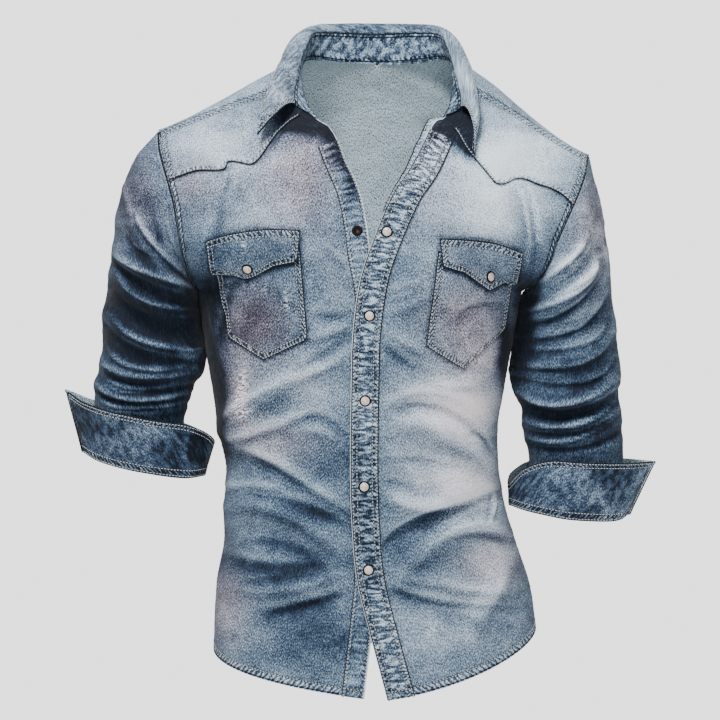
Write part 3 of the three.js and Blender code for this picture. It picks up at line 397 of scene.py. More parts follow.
def along(rows, t):
    """A smooth path through the rows of a table, with t from 0 to 1"""
    rows = np.asarray(rows, float)
    last = len(rows) - 1
    place = np.clip(t, 0, 1) * last
    i = np.minimum(place.astype(int), last - 1)
    f = (place - i)[..., None]
    start, end = rows[i], rows[i + 1]
    into = (end - rows[np.maximum(i - 1, 0)]) / np.where(i > 0, 2, 1)[..., None]
    out = (rows[np.minimum(i + 2, last)] - start) / np.where(i < last - 1, 2, 1)[..., None]
    bend = 2 * start - 2 * end + into + out
    rise = 3 * end - 3 * start - 2 * into - out
    return ((bend * f + rise) * f + into) * f + start


def cornered(upper, lower, t):
    """The same through two tables that meet in a corner, where the second one starts"""
    place = np.clip(t, 0, 1) * (len(upper) + len(lower) - 1)
    first = along([*upper, lower[0]], place / len(upper))
    second = along(lower, (place - len(upper)) / (len(lower) - 1))
    return np.where((place <= len(upper))[..., None], first, second)


def straight(rows, t):
    """A path through the rows of a table with its corners kept sharp"""
    rows = np.asarray(rows, float)
    place = np.clip(t, 0, 0.9999) * (len(rows) - 1)
    i = place.astype(int)
    return mix(rows[i], rows[i + 1], (place - i)[..., None])


def bezier(a, b, c, d, t):
    t = t[..., None]
    s = 1 - t
    return a * s**3 + b * (3 * s * s * t) + c * (3 * s * t * t) + d * t**3


def folds(table, x, z, uneven=0.0):
    """How far the folds of a table lift the cloth, and how much paler they are painted: a ridge paler along
    its top, partly wear and partly painted highlight, with painted shade at the foot of its lower side, and a
    trough the other way round
    """
    lift, paler = np.zeros_like(x), np.zeros_like(x)
    t = np.linspace(0, 1, FOLD_STEPS + 1)
    for x0, z0, x1, z1, x2, z2, high, wide in table:
        line = np.stack([
            (1 - t)**2 * x0 + 2 * (1 - t) * t * x1 + t * t * x2,
            (1 - t)**2 * z0 + 2 * (1 - t) * t * z1 + t * t * z2,
        ], axis=1)
        low, top = line.min(axis=0) - FOLD_REACH * wide, line.max(axis=0) + FOLD_REACH * wide
        near = (x > low[0]) & (x < top[0]) & (z > low[1]) & (z < top[1])
        if not near.any():
            continue
        place = np.stack([x[near], z[near]], axis=1)[:, None]
        step = np.diff(line, axis=0)
        share = np.clip(((place - line[:-1]) * step).sum(axis=2) / (step * step).sum(axis=1), 0, 1)
        foot = line[:-1] + share[..., None] * step
        gap = np.linalg.norm(place - foot, axis=2)
        best = gap.argmin(axis=1)
        rank = np.arange(len(best))
        gap, below = gap[rank, best], place[:, 0, 1] < foot[rank, best, 1]
        fade = np.sin(pi * np.clip((best + share[rank, best]) / FOLD_STEPS, 0.06, 0.94))**0.7
        steep = below if high > 0 else ~below
        lift[near] += high * fade * np.exp(-(gap / (wide * np.where(steep, 1 - uneven, 1 + uneven)))**2)
        # Painted tone, turned over for a trough: wear and painted highlight along the fold, painted shade at
        # the foot of its steep side and in a wider band round it
        worn_and_lit = np.exp(-(gap / (wide * np.where(steep, 0.4, 1.1)))**2)
        foot_line = np.where(steep, np.exp(-((gap - 0.85 * wide) / (0.42 * wide))**2), 0)
        paler[near] += np.sign(high) * min(abs(high) / FULL_FOLD, 1.2) * fade * (
            worn_and_lit - 0.34 * foot_line - 0.26 * np.exp(-(gap / (2.4 * wide))**2))
    return lift, paler


def mottle(x, z, size, seed):
    """Uneven ground between -1 and 1, in hills of one size"""
    hills = np.random.default_rng(seed).uniform(-1, 1, (64, 64))
    i, j = np.floor(x / size).astype(int), np.floor(z / size).astype(int)
    f, g = x / size - i, z / size - j
    f, g = f * f * (3 - 2 * f), g * g * (3 - 2 * g)
    i, j = i % 64, j % 64
    upper = mix(hills[i, j], hills[(i + 1) % 64, j], f)
    lower = mix(hills[i, (j + 1) % 64], hills[(i + 1) % 64, (j + 1) % 64], f)
    return mix(upper, lower, g)


def worn_and_shaded(table, x, z):
    """How much paler the patches of a table leave the cloth, and how much more mauve"""
    paler, mauve = np.zeros_like(x), np.zeros_like(x)
    for x0, z0, wide, high, pale, turn in table:
        near = np.exp(-((x - x0) / wide)**2 - ((z - z0) / high)**2)
        paler += pale * near
        mauve += turn * near
    return paler, mauve


# Front and back face the same way where they meet on the shoulder
SHOULDER_RIGHT = (-0.353, 0.0, 0.935)
SHOULDER_LEFT = (0.49, 0.0, 0.87)
SHOULDER_SHARE = 0.02


class Surface:
    """The shape of a piece: its places for (u, v), the way they face, and its folds"""

    def __init__(self, places, turn, lifts=None, span=(0, 1), whole=None, parted=0.0, shoulder=None):
        self.places, self.turn, self.lifts = places, turn, lifts
        self.span, self.whole, self.parted, self.shoulder = span, whole, parted, shoulder

    def faces(self, u, v):
        way = facing(self.places, u, v, self.turn, self.span)
        if self.whole is not None:
            shared = facing(self.whole, u, v, self.turn, (-1, 1))
            way = np.where((v < self.parted)[..., None], way, shared)
        if self.shoulder is not None:
            way = mix(way, np.array(self.shoulder), ramp(SHOULDER_SHARE - v, 0, SHOULDER_SHARE)[..., None])
            way = way / np.linalg.norm(way, axis=-1, keepdims=True)
        return way

    def relief(self, points, u, v):
        if self.lifts is None:
            return np.zeros_like(u), np.zeros_like(u)
        return self.lifts(points, u, v)


def facing(places, u, v, turn, span, step=0.004):
    across = places(np.minimum(u + step, span[1]), v) - places(np.maximum(u - step, span[0]), v)
    down = places(u, np.minimum(v + step, 1)) - places(u, np.maximum(v - step, 0))
    way = np.cross(across, down)
    return turn * way / np.linalg.norm(way, axis=-1, keepdims=True)


def panel(edge_rows, arm_rows, seam_rows, pulls, side, middle_rows=None):
    """A panel between an inner edge and an outer edge, one curve across for every height"""
    def places(u, v):
        inner = cornered(edge_rows, middle_rows, v) if middle_rows else along(edge_rows, v)
        outer = cornered(arm_rows, seam_rows, v)
        pull = along(pulls, v) * [side, 1, 1, side, 1, 1]
        return bezier(inner, inner + pull[..., :3], outer + pull[..., 3:], outer, u)
    return places


def panel_calm(u, v):
    return ramp(v, 0.03, 0.12) * ramp(1 - v, 0, 0.05) * ramp(1 - u, 0, 0.12) * ramp(u, 0, 0.14)


def back_calm(u, v):
    return ramp(v, 0.25, 0.34) * ramp(1 - v, 0, 0.05) * ramp(1 - np.abs(u), 0, 0.12)


def seam_calm(u, v):
    """Creases run closer to the seams than the large folds"""
    return ramp(v, 0.02, 0.06) * ramp(1 - v, 0, 0.03) * ramp(1 - np.abs(u), 0, 0.05)


def body_relief(large, small, calm, seed):
    def lifts(points, u, v):
        x, z = points[..., 0], points[..., 2]
        main, main_pale = folds(large, x, z)
        fine, fine_pale = folds(small, x, z, 0.35)
        rough = (0.8 * mottle(x, z * 1.7, 34, seed) + 0.45 * mottle(x + 0.4 * z, z * 1.5, 15, seed + 1)
                 + 0.18 * mottle(x, z, 6, seed + 2))
        lift = 1.15 * main * calm(u, v) + (1.4 * fine + rough) * seam_calm(u, v)
        return lift, 0.55 * main_pale * calm(u, v) + 0.95 * fine_pale + 0.3 * rough
    return lifts


right_places = panel(RIGHT_EDGE, ARM_FRONT_RIGHT, SIDE_RIGHT, FRONT_PULLS, -1)
left_places = panel(LEFT_EDGE, ARM_FRONT_LEFT, SIDE_LEFT, FRONT_PULLS, 1)
in_front = body_relief(FRONT_FOLDS, FRONT_CREASES, panel_calm, 11)
behind = body_relief(BACK_FOLDS, BACK_CREASES, back_calm, 23)
front_right = Surface(right_places, 1, in_front, shoulder=SHOULDER_RIGHT)
front_left = Surface(left_places, -1, in_front, shoulder=SHOULDER_LEFT)

half_right = panel(BACK_EDGE_RIGHT, ARM_BACK_RIGHT, SIDE_RIGHT, BACK_PULLS, -1, BACK_MIDDLE)
half_left = panel(BACK_EDGE_LEFT, ARM_BACK_LEFT, SIDE_LEFT, BACK_PULLS, 1, BACK_MIDDLE)


def mirrored(u, v):
    return half_right(-u, v)


def back_places(u, v):
    return np.where((u < 0)[..., None], half_right(-u, v), half_left(u, v))


NECK_SHARE = len(BACK_EDGE_RIGHT) / (len(BACK_PULLS) - 1)
back_right = Surface(mirrored, 1, behind, (-1, 0), back_places, NECK_SHARE, SHOULDER_RIGHT)
back_left = Surface(half_left, 1, behind, (0, 1), back_places, NECK_SHARE, SHOULDER_LEFT)


# Sleeves, led from the armhole at the top and into the cuff at the end
ARMHOLE_SHARE = 0.4
CUFF_SHARE = 0.84
ARMHOLE_GAP = 1.3
LEAVING = 0.05  # how far down a sleeve sets the way in which it leaves the armhole
ALL_ROUND = (-9, 9)  # a tube has no ends across, so any u is inside


def sleeve(rings, cuff_rows, arm_front, arm_back, underarm):
    rim = np.array(cuff_rows, float)[:, 3:]
    middle = rim.mean(axis=0)

    def ring(u, v):
        rows = along(rings, v)
        out = (np.cos(2 * pi * u) + 1) / 2
        return np.stack([
            mix(rows[..., 2], rows[..., 0], out),
            rows[..., 4] - rows[..., 5] * np.sin(2 * pi * u),
            mix(rows[..., 3], rows[..., 1], out),
        ], axis=-1)

    def places(u, v):
        u = np.mod(u, 1.0)
        first = ring(u, 0 * v)
        leaving = ring(u, 0 * v + LEAVING) - first
        leaving = leaving / np.linalg.norm(leaving, axis=-1, keepdims=True)
        hole = np.where((u <= 0.5)[..., None], along([*arm_front, underarm], 2 * u),
                        along([*arm_back, underarm], 2 - 2 * u)) + leaving * ARMHOLE_GAP
        early = np.maximum(1 - v / ARMHOLE_SHARE, 0)[..., None]**2
        late = ramp(v, CUFF_SHARE, 1)[..., None]
        end = (along(rim, u) - middle) * CUFF_INSET + middle
        return mix(ring(u, v) + (hole - first) * early, end, late)
    return places


def sleeve_relief(large, large_behind, small, seed):
    def lifts(points, u, v):
        x, y, z = points[..., 0], points[..., 1], points[..., 2]
        front = ramp(-y, -25, 25)
        calm = ramp(v, 0.02, 0.12) * ramp(1 - v, 0.12, 0.2)
        main, main_pale = folds(large, x, z)
        rear, rear_pale = folds(large_behind, x, z)
        fine, fine_pale = folds(small, x, z, 0.3)
        bent, bent_pale = folds(small, x + 0.25 * y, z + 9, 0.3)
        rough = (0.9 * mottle(x + 0.5 * y, z * 1.8, 30, seed)
                 + 0.6 * mottle(x + 0.7 * y, z * 1.9, 13, seed + 1))
        lift = mix(rear + 0.9 * bent, main + fine, front) + rough
        pale = mix(0.5 * rear_pale + bent_pale, 0.5 * main_pale + 1.1 * fine_pale, front) + 0.3 * rough
        return lift * calm, pale * calm
    return lifts


sleeve_right = Surface(
    sleeve(SLEEVE_RIGHT, CUFF_RIGHT, ARM_FRONT_RIGHT, ARM_BACK_RIGHT, SIDE_RIGHT[0]), -1,
    sleeve_relief(SLEEVE_FOLDS_RIGHT, SLEEVE_BACK_FOLDS_RIGHT, SLEEVE_CREASES_RIGHT, 31), ALL_ROUND)
sleeve_left = Surface(
    sleeve(SLEEVE_LEFT, CUFF_LEFT, ARM_FRONT_LEFT, ARM_BACK_LEFT, SIDE_LEFT[0]), 1,
    sleeve_relief(SLEEVE_FOLDS_LEFT, SLEEVE_BACK_FOLDS_LEFT, SLEEVE_CREASES_LEFT, 37), ALL_ROUND)


def cuff(rows):
    def places(u, v):
        rims = along(rows, u)
        return mix(rims[..., :3], rims[..., 3:], v[..., None])
    return places


def cuff_relief(seed):
    def lifts(points, u, v):
        x, y, z = points[..., 0], points[..., 1], points[..., 2]
        rough = mottle(x + 0.6 * y, z, 26, seed) + 0.5 * mottle(x + 0.6 * y, z, 11, seed + 1)
        return 1.1 * rough * ramp(u, 0, 0.04) * ramp(1 - u, 0, 0.04), 0.5 * rough
    return lifts


cuff_right = Surface(cuff(CUFF_RIGHT), -1, cuff_relief(41))
cuff_left = Surface(cuff(CUFF_LEFT), 1, cuff_relief(47))


def stand_places(u, v):
    return mix(along(STAND_LOWER, u), along(STAND_UPPER, u), v[..., None])


def leaf_places(u, v):
    seam, edge = along(STAND_UPPER, u), along(LEAF_OUTER, u)
    return bezier(seam, seam + along(LEAF_RISE, u), edge + along(LEAF_FALL, u), edge, v)


def leaf_relief(points, u, v):
    rough = mottle(points[..., 0] + points[..., 1], points[..., 2], 24, 53)
    return 0.8 * rough * ramp(v, 0, 0.2), 0.4 * rough


stand = Surface(stand_places, 1)
leaf = Surface(leaf_places, 1, leaf_relief)


class Piece:
    """A lattice of places on one piece, with its distances in mm from its four edges"""

    def __init__(self, surface, u, v, out=0.0, wear_and_shade=None, shade=0.5, painted_side_shade=0.0, ridge=0.38,
                 even=False):
        # The wash is its shade, paler on ridges from wear and painted highlight, and darker where the cloth
        # is side on, which is painted shade
        base = surface.places(u, v)
        lift, paler = surface.relief(base, u, v)
        self.faces = surface.faces(u, v)
        self.points = base + self.faces * (lift + out)[..., None]
        across = np.linalg.norm(np.diff(base, axis=1), axis=2)
        down = np.linalg.norm(np.diff(base, axis=0), axis=2)
        self.left = np.pad(np.cumsum(across, axis=1), ((0, 0), (1, 0)))
        self.top = np.pad(np.cumsum(down, axis=0), ((1, 0), (0, 0)))
        if even:
            self.top = np.repeat(self.top.mean(axis=1, keepdims=True), self.top.shape[1], axis=1)
        self.right = self.left[:, -1:] - self.left
        self.bottom = self.top[-1:] - self.top
        self.width, self.length = self.left[:, -1].max(), self.top[-1].max()
        cell = np.cross(base[1:, 1:] - base[:-1, :-1], base[1:, :-1] - base[:-1, 1:])
        self.area = np.linalg.norm(cell, axis=2).sum() / 2
        # Patches of wear and of painted shade, from the tables
        pale, self.mauve = worn_and_shaded(wear_and_shade or [], base[..., 0], base[..., 2])
        # Painted shade where the cloth turns side on
        side_on = 1 - np.abs(self.faces[..., 1])
        self.pale = shade + pale + ridge * paler - painted_side_shade * side_on**2
        self.base, self.dark = base, np.zeros_like(u)
        self.scuff = worn_and_shaded(SCUFFS, base[..., 0], base[..., 2])[0]

    def shaded(self, outlines, dark, reach):
        """Paints shade into the cloth beside the edges of pieces sewn on it"""
        x, z = self.base[..., 0], self.base[..., 2]
        for outline in outlines:
            line = np.array(outline, float)
            for (x0, z0), (x1, z1) in zip(line, line[1:]):
                share = ((x - x0) * (x1 - x0) + (z - z0) * (z1 - z0)) / ((x1 - x0)**2 + (z1 - z0)**2)
                share = np.clip(share, 0, 1)
                gap = np.hypot(x - mix(x0, x1, share), z - mix(z0, z1, share))
                self.dark = np.maximum(self.dark, dark * np.exp(-(gap / reach)**2))

    def push(self, amount):
        self.points = self.points + self.faces * amount[..., None]

    def pucker(self, gap, run, inset, wide, high, pitch, seed):
        """Gathers the cloth in short waves along a seam"""
        uneven = 0.6 * mottle(run, gap * 0 + seed, 19, seed) + run / pitch
        wave = np.sin(2 * pi * uneven) * (0.65 + 0.35 * mottle(run, gap * 0, 31, seed + 1))
        band = np.exp(-((gap - inset) / wide)**2)
        self.push(high * band * wave)
        self.pale = self.pale + 0.16 * band * wave

    def pucker_rim(self, inset, wide, high, pitch, seed):
        """Gathers the lower edge and both sides"""
        for gap, run in ((self.bottom, self.left), (self.left, self.top), (self.right, self.top)):
            self.pucker(gap, run, inset, wide, high, pitch, seed)

    def lane(self, edge, inset, start=0.0, stop=0.0):
        """A line of places a steady distance inside one edge, and the way they face"""
        gap, points, faces = getattr(self, edge), self.points, self.faces
        ends = (self.top, self.bottom) if edge in ("left", "right") else (self.left, self.right)
        if edge in ("top", "bottom"):
            gap, points, faces = gap.T, points.swapaxes(0, 1), faces.swapaxes(0, 1)
            ends = (ends[0].T, ends[1].T)
        if edge in ("right", "bottom"):
            gap, points, faces = gap[:, ::-1], points[:, ::-1], faces[:, ::-1]
            ends = (ends[0][:, ::-1], ends[1][:, ::-1])
        path, ways = [], []
        for j in range(len(gap)):
            if gap[j, -1] < inset:
                continue
            place = np.interp(inset, gap[j], np.arange(gap.shape[1]))
            i = min(int(place), gap.shape[1] - 2)
            if ends[0][j, i] < start or ends[1][j, i] < stop:
                continue
            path.append(mix(points[j, i], points[j, i + 1], place - i))
            ways.append(mix(faces[j, i], faces[j, i + 1], place - i))
        return np.array(path), np.array(ways)


def lattice(columns, rows, u=(0.0, 1.0), v=(0.0, 1.0)):
    return np.meshgrid(np.linspace(*u, columns + 1), np.linspace(*v, rows + 1))


def finish_object(name, bm, looks):
    mesh = bpy.data.meshes.new(name)
    bm.to_mesh(mesh)
    bm.free()
    for look in looks:
        mesh.materials.append(look)
    made = bpy.data.objects.new(name, mesh)
    bpy.context.scene.collection.objects.link(made)
    mesh.polygons.foreach_set("use_smooth", [True] * len(mesh.polygons))
    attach(made, "root")
    return made


def sew(name, parts, thickness, looks):
    """Makes the cloth of one node"""
    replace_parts(sew_loose(name, parts, thickness, looks), name)


def sew_loose(name, parts, thickness, looks):
    """Makes a sheet of cloth from its lattices, with a wall of one thickness"""
    bm = bmesh.new()
    finish = bm.verts.layers.float_color.new("finish")  # wash with its painted light and shade, mauve and scuff
    edges = bm.verts.layers.float_color.new("edges")  # mm from the left, right, top and bottom
    cloth = bm.loops.layers.uv.new("cloth")
    for part in parts:
        rows, columns = part.left.shape[0] - 1, part.left.shape[1] - 1
        made = bmesh.ops.create_grid(bm, x_segments=columns, y_segments=rows, size=0.5)["verts"]
        spot = {}
        for vert in made:
            i = round((vert.co.x + 0.5) * columns)
            j = round((0.5 - vert.co.y) * rows)
            spot[vert] = (part.left[j, i] * MM, -part.top[j, i] * MM)
            # The wash with its painted light, less the painted shade beside pieces sewn on it
            wash_and_painted_light = max(part.pale[j, i] - part.dark[j, i], LEAST_WASH)
            vert[finish] = (wash_and_painted_light, part.mauve[j, i], part.scuff[j, i], 1)
            vert[edges] = (part.left[j, i], part.right[j, i], part.top[j, i], part.bottom[j, i])
            vert.co = part.points[j, i] * MM
        faces = {face for vert in made for face in vert.link_faces}
        for face in faces:
            for loop in face.loops:
                loop[cloth].uv = spot[loop.vert]
        bm.normal_update()
        middle = part.faces[rows // 2, columns // 2]
        centre = Vector(part.points[rows // 2, columns // 2] * MM)
        close = min(faces, key=lambda face: (face.calc_center_median() - centre).length_squared)
        if close.normal.dot(Vector(middle)) < 0:
            bmesh.ops.reverse_faces(bm, faces=list(faces))
    bmesh.ops.remove_doubles(bm, verts=bm.verts, dist=0.02 * MM)
    made = finish_object(name, bm, looks)
    wall = made.modifiers.new("wall", "SOLIDIFY")
    wall.thickness = thickness * MM
    wall.offset = -1
    wall.material_offset = 1
    return made


class Num:
    """A number that changes over a surface. Sums and products of it add Math nodes."""

    def __init__(self, look, socket):
        self.look, self.socket = look, socket

    def __add__(self, other):
        return self.look.maths("ADD", self, other)

    def __sub__(self, other):
        return self.look.maths("SUBTRACT", self, other)

    def __rsub__(self, other):
        return self.look.maths("SUBTRACT", other, self)

    def __mul__(self, other):
        return self.look.maths("MULTIPLY", self, other)

    def __truediv__(self, other):
        return self.look.maths("DIVIDE", self, other)

    __radd__ = __add__
    __rmul__ = __mul__


class Look:
    """One finish: its material, and one way of adding any node to it"""

    def __init__(self, name):
        self.material = bpy.data.materials.new(name)
        self.material.use_nodes = True
        self.tree = self.material.node_tree
        self.shader = self.tree.nodes["Principled BSDF"]

    def add(self, kind, settings=None, values=None, output=0):
        node = self.tree.nodes.new("ShaderNode" + kind)
        for key, value in (settings or {}).items():
            setattr(node, key, value)
        for key, value in (values or {}).items():
            self.put(node.inputs[key], value)
        return Num(self, node.outputs[output])

    def put(self, socket, value):
        if isinstance(value, Num):
            self.tree.links.new(value.socket, socket)
        else:
            socket.default_value = value

    def maths(self, operation, *values):
        return self.add("Math", {"operation": operation}, dict(enumerate(values)))

    def smooth(self, value, start, end, low=0.0, high=1.0):
        return self.add("MapRange", {"interpolation_type": "SMOOTHSTEP"}, {
            "Value": value, "From Min": start, "From Max": end, "To Min": low, "To Max": high})

    def least(self, values):
        best = values[0]
        for value in values[1:]:
            best = self.maths("MINIMUM", best, value)
        return best

    def noise(self, place, scale, detail=1.0, rough=0.5):
        return self.add("TexNoise", None, {
            "Vector": place, "Scale": scale, "Detail": detail, "Roughness": rough})

    def ramp(self, value, stops):
        node = self.tree.nodes.new("ShaderNodeValToRGB")
        while len(node.color_ramp.elements) < len(stops):
            node.color_ramp.elements.new(0.5)
        for element, (place, colour) in zip(node.color_ramp.elements, stops):
            element.position = place
            element.color = (*colour, 1)
        self.put(node.inputs["Fac"], value)
        return Num(self, node.outputs["Color"])

    def tinted(self, amount, base, tint):
        node = self.tree.nodes.new("ShaderNodeMix")
        node.data_type, node.blend_type = "RGBA", "MULTIPLY"
        self.put(node.inputs["Factor"], amount)
        self.put(node.inputs[6], base)
        self.put(node.inputs[7], (*tint, 1))
        return Num(self, node.outputs[2])

    def parts(self, name):
        """The first three numbers of one of the cloth's two attributes"""
        colour = self.add("Attribute", {"attribute_name": name}, None, "Color")
        return [self.add("SeparateColor", None, {0: colour}, part) for part in ("Red", "Green", "Blue")]

    def stretch(self, vector, by):
        return self.add("VectorMath", {"operation": "MULTIPLY"}, {0: vector, 1: by})

    def finish(self, colour, rough, height=None, depth=1.0, **constants):
        self.put(self.shader.inputs["Base Color"], colour)
        self.put(self.shader.inputs["Roughness"], rough)
        for key, value in constants.items():
            self.shader.inputs[key.replace("_", " ")].default_value = value
        if height is not None:
            bump = self.add("Bump", None, {"Height": height, "Distance": depth * MM, "Strength": 1.0})
            self.put(self.shader.inputs["Normal"], bump)
        return self.material


# Denim from unwashed to faded, as linear colours
DENIM = [
    (0.0, (0.003, 0.006, 0.013)), (0.19, (0.028, 0.051, 0.095)), (0.36, (0.092, 0.14, 0.203)),
    (0.51, (0.196, 0.267, 0.345)), (0.66, (0.355, 0.453, 0.545)), (0.85, (0.6, 0.71, 0.8)),
    (1.0, (0.77, 0.87, 0.94)),
]
FULL_WASH = 0.85  # where the ramp holds the palest cloth, and above it rubbed threads and painted highlights
DENIM_BACK = [(0.0, (0.07, 0.11, 0.13)), (0.5, (0.255, 0.35, 0.4)), (1.0, (0.57, 0.69, 0.75))]
MAUVE = (1.26, 0.94, 0.89)
DARK_MAUVE = (1.2, 0.9, 0.82)
TWILL_PITCH = 1.9
TWILL_SLANT = radians(16)
ROPE_PITCH = 6.2
# How much each part of the cloth changes its wash and its height
IN_WASH = {"pepper": 1.25, "slub": 0.4, "twill": 0.015, "uneven": 0.2, "cloud": 0.2}
IN_HEIGHT = {"pepper": 0.3, "slub": 0.2, "twill": 0.04, "uneven": 0.9}
BLOT_DEPTH = 1.6


def grain(look):
    """The mixed pale and dark threads of the weave, from the cloth's own lengthways and crossways"""
    cloth = look.add("UVMap", {"uv_map": "cloth"})
    slanted = look.add("Mapping", None, {
        "Vector": cloth, "Rotation": (0, 0, TWILL_SLANT), "Scale": (1, 0.42, 1)})
    pepper = look.noise(slanted, 1050.0, 0.0)
    slub = look.noise(look.stretch(cloth, (1.0, 0.14, 1.0)), 560.0, 1.0, 0.6)
    across = look.add("SeparateXYZ", None, {0: cloth}, "X")
    along_it = look.add("SeparateXYZ", None, {0: cloth}, "Y")
    twill = look.maths("SINE", (across * 0.9 + along_it) * (2 * pi / (TWILL_PITCH * MM)))
    return cloth, across / MM, along_it / (-MM), pepper - 0.5, slub - 0.5, twill


def denim(name, seams=(), rope=0.16, raised=(), rim=0.3, worn_and_lit=(), marble=0.0, strokes=0.0,
          tone=-0.08):
    """Washed denim. A seam is the edges that it follows and how far inside them its rows lie. A raised
    edge gets a thin line of painted shade at its foot and a pale line along its top, partly wear and partly
    painted highlight."""
    look = Look(name)
    cloth, across, down, pepper, slub, twill = grain(look)
    wash_and_painted_light, mauve, scuff = look.parts("finish")
    gaps = dict(zip(("left", "right", "top"), look.parts("edges")))
    gaps["bottom"] = look.add("Attribute", {"attribute_name": "edges"}, None, "Alpha")
    uneven = look.noise(cloth, 90.0, 2.0, 0.6)
    faded = look.smooth(wash_and_painted_light, 0.0, 0.35, 0.3, 1.0)
    cloud = look.noise(cloth, 22.0, 3.0, 0.55)
    level = (wash_and_painted_light + pepper * faded * IN_WASH["pepper"] + slub * IN_WASH["slub"]
             + twill * IN_WASH["twill"] + (uneven - 0.5) * IN_WASH["uneven"]
             + (cloud - 0.5) * IN_WASH["cloud"])
    height = (pepper * IN_HEIGHT["pepper"] + slub * IN_HEIGHT["slub"] + twill * IN_HEIGHT["twill"]
              + (uneven - 0.5) * IN_HEIGHT["uneven"])
    for amount, stretch, scale, rough, start in (
            (marble, (1.0, 0.8, 1.0), 125.0, 0.5, 0.38), (strokes, (0.34, 1.0, 1.0), 230.0, 0.6, 0.4)):
        if amount:
            blot = look.noise(look.stretch(cloth, stretch), scale, 1.0, rough)
            spread = look.smooth(blot, start, 0.62, -1.0, 1.0)
            level = level + spread * amount
            height = height + spread * (amount * BLOT_DEPTH)
    wobble = look.noise(cloth, 150.0, 1.0, 0.5)
    for sides, rows in seams:
        gap = look.least([gaps[side] for side in sides])
        for row in rows:
            off = look.maths("ABSOLUTE", gap - row)
            # Each row lies in a groove, lower in height and painted darker as shade
            groove = look.smooth(off, 0.35, 1.2, 1.0, 0.0)
            level = level - groove * 0.6
            height = height - groove * 0.5
        reach = max(rows) + (0.5 if len(rows) > 1 else 4.0)
        band = look.smooth(gap, reach - 1.0, reach + 1.0, 1.0, 0.0)
        run = down if "left" in sides or "right" in sides else across
        if len(sides) > 1:
            run = across + down
        twist = look.maths("SINE", (run + gap * 0.7) * (2 * pi / ROPE_PITCH) + wobble * 8.0)
        twist = look.smooth(twist, -0.6, 0.7, -1.0, 1.0)
        level = level + band * (twist * rope + tone)
        height = height + band * twist * 0.4
    if raised:
        gap = look.least([gaps[side] for side in raised])
        # A pale line along the top of a raised edge, partly wear and partly painted highlight
        worn_and_lit_rim = look.smooth(gap, 2.2, 3.8, rim, 0.0)
        level = level + look.smooth(gap, 1.1, 1.7, 0.0, 1.0) * worn_and_lit_rim * (wobble + 0.5)
        # A thin line of painted shade at the foot of a raised edge
        level = level - look.smooth(gap, 1.0, 1.6, 1.1, 0.0)
    if worn_and_lit:
        # A pale band along these edges, partly wear and partly painted highlight
        gap = look.least([gaps[side] for side in worn_and_lit])
        level = level + look.smooth(gap + wobble * 1.6, 1.6, 2.6, 1.0, 0.0)
    bare = look.noise(look.stretch(cloth, (0.3, 1.0, 1.0)), 520.0, 1.0, 0.6)
    level = level + scuff * look.smooth(bare, 0.42, 0.56, -0.25, 0.8)
    colour = look.tinted(mauve, look.ramp(level * FULL_WASH, DENIM), MAUVE)
    colour = look.tinted(mauve * look.smooth(level, 0.3, 0.75, 1.0, 0.0), colour, DARK_MAUVE)
    return look.finish(colour, 0.86 + pepper * 0.2, height, 1.0, Sheen_Weight=0.05,
                       Sheen_Roughness=0.45, Specular_IOR_Level=0.2)


def denim_inside(name, shade=0.0):
    """The pale side of denim"""
    look = Look(name)
    cloth, _, _, pepper, slub, _ = grain(look)
    cloud = look.noise(cloth, 40.0, 3.0, 0.6)
    level = 0.76 + shade + pepper * 4.6 + slub * 0.6 + (cloud - 0.5) * 0.6
    return look.finish(look.ramp(level, DENIM_BACK), 0.9 + pepper * 0.1, pepper * 0.4 + slub * 0.3, 1.0,
                       Sheen_Weight=0.12, Specular_IOR_Level=0.3)


def thread_look(name, colour):
    look = Look(name)
    place = look.add("TexCoord", None, None, "Object")
    twist = look.noise(place, 900.0, 2.0)
    worn_thread = look.noise(place, 60.0, 2.0)
    shade = look.ramp(twist * 0.5 + worn_thread * 0.5, [
        (0.3, tuple(0.55 * c for c in colour)), (0.7, colour)])
    return look.finish(shade, 0.75, twist, 0.15, Sheen_Weight=0.2)


def pearl_look(name):
    look = Look(name)
    place = look.add("TexCoord", None, None, "Object")
    swirl = look.noise(look.stretch(place, (1.0, 1.0, 2.0)), 260.0, 3.0, 0.6)
    colour = look.ramp(swirl, [
        (0.32, (0.5, 0.37, 0.3)), (0.5, (0.66, 0.55, 0.48)), (0.68, (0.8, 0.72, 0.66))])
    return look.finish(colour, 0.22 + swirl * 0.12, swirl, 0.05, Coat_Weight=0.5, Coat_Roughness=0.1)


def metal_look(name, colour, rough):
    look = Look(name)
    place = look.add("TexCoord", None, None, "Object")
    tarnish = look.noise(place, 420.0, 3.0, 0.6)
    shade = look.ramp(tarnish, [(0.35, tuple(0.45 * c for c in colour)), (0.65, colour)])
    return look.finish(shade, rough + tarnish * 0.25, tarnish, 0.08, Metallic=0.9)


THREAD_PITCH = 3.9
THREAD_LONG = 2.2
THREAD_THICK = 0.85
THREAD_OUT = 0.16  # from the cloth to the middle of a thread
PIT_OUT = 0.1
PIT_DEEP = 0.3
PIT = 1.3  # radius of the dark cone between two threads, painted shade of the pit that the needle pulls in


